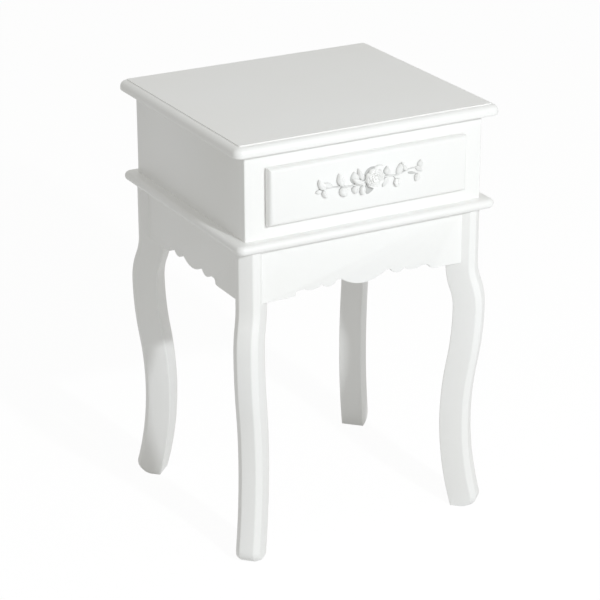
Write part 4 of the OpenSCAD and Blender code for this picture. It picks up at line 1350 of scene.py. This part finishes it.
class NIGHTSTAND_OT_leg_fasteners(Operator):
    """Make the bolts, washers and nuts that hold the legs"""

    bl_idname = "nightstand.leg_fasteners"
    bl_label = "Leg Fasteners"

    def execute(self, context):
        sizes = context.scene.nightstand_fasteners
        # Each bolt runs from its outer end inwards, and all are alike
        starts, ways = [], []
        for solid in solids_of("leg_bolts"):
            start, way, length = axis_of(solid)
            if way.xy.dot((start + way * length / 2).xy) > 0:
                start, way = start + way * length, -way
            starts.append(start)
            ways.append(way)
        inputs = {"Diameter": sizes.bolt, "Pitch": sizes.bolt_pitch, "Length": length, "Seed": 3}
        add_small_parts("threaded_leg_bolts", "leg_bolts", self.bolt_tree(inputs), "zinc", inputs, starts, ways)
        for node, make_tree, width in (("leg_washers", self.washer_tree, sizes.washer),
                                       ("leg_nuts", self.nut_tree, sizes.nut_flats)):
            places, turns = [], []
            for solid in solids_of(node):
                middle = Vector((solid.min(0) + solid.max(0)) / 2)
                # The bolt of the same corner is the one that points most against the way out to it
                way = min(ways, key=lambda w: w.xy.dot(middle.xy))
                thickness = float(np.ptp(solid @ np.array(way)))
                places.append(middle - way * (thickness / 2))
                turns.append(way)
            inputs = {"Width": width, "Bore": sizes.bolt * 1.02, "Thickness": thickness, "Seed": 5}
            add_small_parts("plated_" + node, node, make_tree(inputs), "zinc", inputs, places, turns)
        return {"FINISHED"}

    def bolt_tree(self, inputs):
        """A threaded bolt."""
        tree = Turnery("leg_bolt", inputs)
        diameter, pitch, length = tree.values("Diameter", "Pitch", "Length")
        radius, depth = diameter * 0.5, pitch * 0.3
        shape = tree.joined(tree.rod(radius - depth * 1.4, 0.0, length),
                            tree.thread(radius, depth, pitch, pitch * 0.5, length - pitch))
        return tree.end_on_points(shape, "zinc")

    def washer_tree(self, inputs):
        """A washer with eased rims, as a rounded section swept round a circle."""
        tree = Turnery("leg_washer", inputs)
        width, bore, thick = tree.values("Width", "Bore", "Thickness")
        outer, inner = width * 0.5, bore * 0.5
        section = tree.node("GeometryNodeCurvePrimitiveQuadrilateral", {"Width": outer - inner, "Height": thick},
                            mode="RECTANGLE")
        section = tree.node("GeometryNodeFilletCurve", {"Curve": section, "Count": 3, "Radius": thick * 0.18},
                            mode="POLY")
        ring = tree.circle((outer + inner) * 0.5, 64)
        ring = tree.node("GeometryNodeSetCurveNormal", {"Curve": ring}, mode="Z_UP")
        return tree.end_on_points(tree.lifted(tree.swept(ring, section), thick * 0.5), "zinc")

    def nut_tree(self, inputs):
        """A hexagon nut: a prism whose corners a barrel of two cones chamfers, with a bore."""
        tree = Turnery("leg_nut", inputs)
        width, bore, thick = tree.values("Width", "Bore", "Thickness")
        corner = width * (0.5 / math.cos(math.pi / 6))
        narrow, wide, half = corner * 0.88, corner * 1.28, thick * 0.5
        barrel = tree.joined(tree.cone(narrow, wide, 0.0, half, 48), tree.cone(wide, narrow, half, half, 48))
        barrel = tree.node("GeometryNodeMergeByDistance", {"Geometry": barrel, "Distance": HAIR})
        height = tree.part(tree.node("GeometryNodeInputPosition"), "Z")
        normal = tree.part(tree.node("GeometryNodeInputNormal"), "Z")
        # The flat faces where the two cones meet come out
        inside = tree.math("COMPARE", height, half, thick * 0.1)
        inside = inside * tree.math("GREATER_THAN", tree.math("ABSOLUTE", normal), 0.99)
        barrel = tree.node("GeometryNodeDeleteGeometry", {"Geometry": barrel, "Selection": inside},
                           domain="FACE", mode="ALL")
        solid = tree.boolean("INTERSECT", [tree.rod(corner, 0.0, thick, 6), barrel])
        solid = tree.boolean("DIFFERENCE", [tree.rod(bore * 0.5, thick * -0.5, thick * 2.0, 32)], solid)
        return tree.end_on_points(solid, "zinc")


# Lamps: place, aim and size in metres, and the stage's settings of their power and colour
LAMPS = {
    "front_lamp": ((0.20, -1.70, 0.68), (0.0, 0.0, 0.35), 0.5, "front", "lamp_colour"),
    "spot_lamp": ((0.18, -2.62, 1.76), (0.0, 0.0, 0.35), 0.1, "spot", "lamp_colour"),
    "top_lamp": ((0.0, 0.2, 3.0), (0.0, 0.0, 0.6), 2.4, "top", "sky_colour"),
}
# Half the floor's width in metres, and the strength at which it shows white
FLOOR_REACH, FLOOR_WHITE = 14.0, 1.06


def place_facing(name, data, place, way, roll=0.0):
    """Adds a camera or a lamp that looks along a way."""
    holder = bpy.data.objects.new(name, data)
    holder.location = place
    holder.rotation_mode = "QUATERNION"
    turn = way.to_track_quat("-Z", "Y").to_matrix() @ Matrix.Rotation(roll, 3, "Z")
    holder.rotation_quaternion = turn.to_quaternion()
    bpy.context.scene.collection.objects.link(holder)
    return holder


class NIGHTSTAND_OT_stage(Operator):
    """Set up the camera, the lamps, the pale floor and the white background"""

    bl_idname = "nightstand.stage"
    bl_label = "Stage"

    def execute(self, context):
        stage = context.scene.nightstand_stage
        context.scene.view_settings.view_transform = "Standard"
        self.add_camera(stage)
        for name, (place, aim, size, power, colour) in LAMPS.items():
            light = bpy.data.lights.new(name, "AREA")
            light.shape = "SQUARE"
            light.size = size
            light.energy = getattr(stage, power)
            light.color = getattr(stage, colour)
            place_facing(name, light, place, Vector(aim) - Vector(place))
        self.add_world(stage)
        mesh = bpy.data.meshes.new("pale_floor")
        corners = [(x * FLOOR_REACH, y * FLOOR_REACH, 0) for x, y in ((-1, -1), (1, -1), (1, 1), (-1, 1))]
        mesh.from_pydata(corners, [], [range(4)])
        mesh.materials.append(self.floor_finish(stage))
        plane = bpy.data.objects.new("pale_floor", mesh)
        bpy.context.scene.collection.objects.link(plane)
        return {"FINISHED"}

    def add_camera(self, stage):
        """Puts the camera round and above the aim, and lets it look there."""
        data = bpy.data.cameras.new("camera")
        data.lens = stage.lens
        a, e = stage.azimuth, stage.elevation
        back = Vector((math.sin(a) * math.cos(e), -math.cos(a) * math.cos(e), math.sin(e)))
        place = Vector(stage.aim) + back * stage.distance
        bpy.context.scene.camera = place_facing("camera", data, place, -back, stage.roll)

    def seen(self, graph):
        """1 on rays that show the background itself: the camera's, and those in metal or glass."""
        camera, glossy, clear = (graph.node("ShaderNodeLightPath", out=name)
                                 for name in ("Is Camera Ray", "Is Glossy Ray", "Is Transmission Ray"))
        return graph.math("MINIMUM", camera + glossy + clear, 1.0)

    def add_world(self, stage):
        """Even light from all sides, with a background that shows white."""
        world = bpy.data.worlds.new("white_room")
        world.use_nodes = True
        world.node_tree.nodes.clear()
        graph = Graph(world.node_tree)
        seen = self.seen(graph)
        strength = stage.sky + seen * (1.0 - stage.sky)
        colour = graph.blend(seen, rgba(stage.sky_colour), WHITE)
        light = graph.node("ShaderNodeBackground", {"Color": colour, "Strength": strength})
        graph.node("ShaderNodeOutputWorld", {"Surface": light})
        bpy.context.scene.world = world

    def floor_finish(self, stage):
        """Pale floor that shows nearly white with a soft shadow, and isn't there from below."""
        graph = Shader("pale_floor")
        plain = graph.node("ShaderNodeBsdfDiffuse", {"Color": rgba(stage.floor)})
        white = graph.node("ShaderNodeEmission", {"Color": WHITE, "Strength": FLOOR_WHITE})
        lit = graph.node("ShaderNodeMixShader", {0: self.seen(graph) * stage.floor_glow, 1: plain, 2: white})
        behind = graph.node("ShaderNodeNewGeometry", out="Backfacing")
        clear = graph.node("ShaderNodeBsdfTransparent")
        shown = graph.node("ShaderNodeMixShader", {0: behind, 1: lit, 2: clear})
        graph.node("ShaderNodeOutputMaterial", {"Surface": shown})
        return graph.material


OPERATORS = (NIGHTSTAND_OT_top_board, NIGHTSTAND_OT_waist_board, NIGHTSTAND_OT_case, NIGHTSTAND_OT_drawer_front,
             NIGHTSTAND_OT_garland, NIGHTSTAND_OT_aprons, NIGHTSTAND_OT_legs, NIGHTSTAND_OT_inner_timber,
             NIGHTSTAND_OT_drawer_box, NIGHTSTAND_OT_screws, NIGHTSTAND_OT_dowels,
             NIGHTSTAND_OT_leg_fasteners, NIGHTSTAND_OT_stage)


class NIGHTSTAND_PT_panel(Panel):
    """Lists the nightstand's sizes, finishes and pieces"""

    bl_idname = "NIGHTSTAND_PT_panel"
    bl_label = "Nightstand"
    bl_space_type = "VIEW_3D"
    bl_region_type = "UI"
    bl_category = "Nightstand"

    def draw(self, context):
        for key, group in SETTINGS.items():
            box = self.layout.box()
            box.label(text=group.__name__)
            for name in group.__annotations__:
                box.prop(getattr(context.scene, key), name)
        for operator in OPERATORS:
            self.layout.operator(operator.bl_idname)


def register():
    """Registers the classes and puts the settings on the scene."""
    for cls in (*SETTINGS.values(), *OPERATORS, NIGHTSTAND_PT_panel):
        bpy.utils.register_class(cls)
    for key, group in SETTINGS.items():
        setattr(bpy.types.Scene, key, PointerProperty(type=group))


def unregister():
    """Takes back what register did."""
    for key in SETTINGS:
        delattr(bpy.types.Scene, key)
    for cls in (NIGHTSTAND_PT_panel, *reversed(OPERATORS), *reversed(SETTINGS.values())):
        bpy.utils.unregister_class(cls)


def main():
    """Makes every piece and the stage."""
    register()
    for operator in OPERATORS:
        getattr(bpy.ops.nightstand, operator.bl_idname.split(".")[1])()


if __name__ == "__main__":
    main()
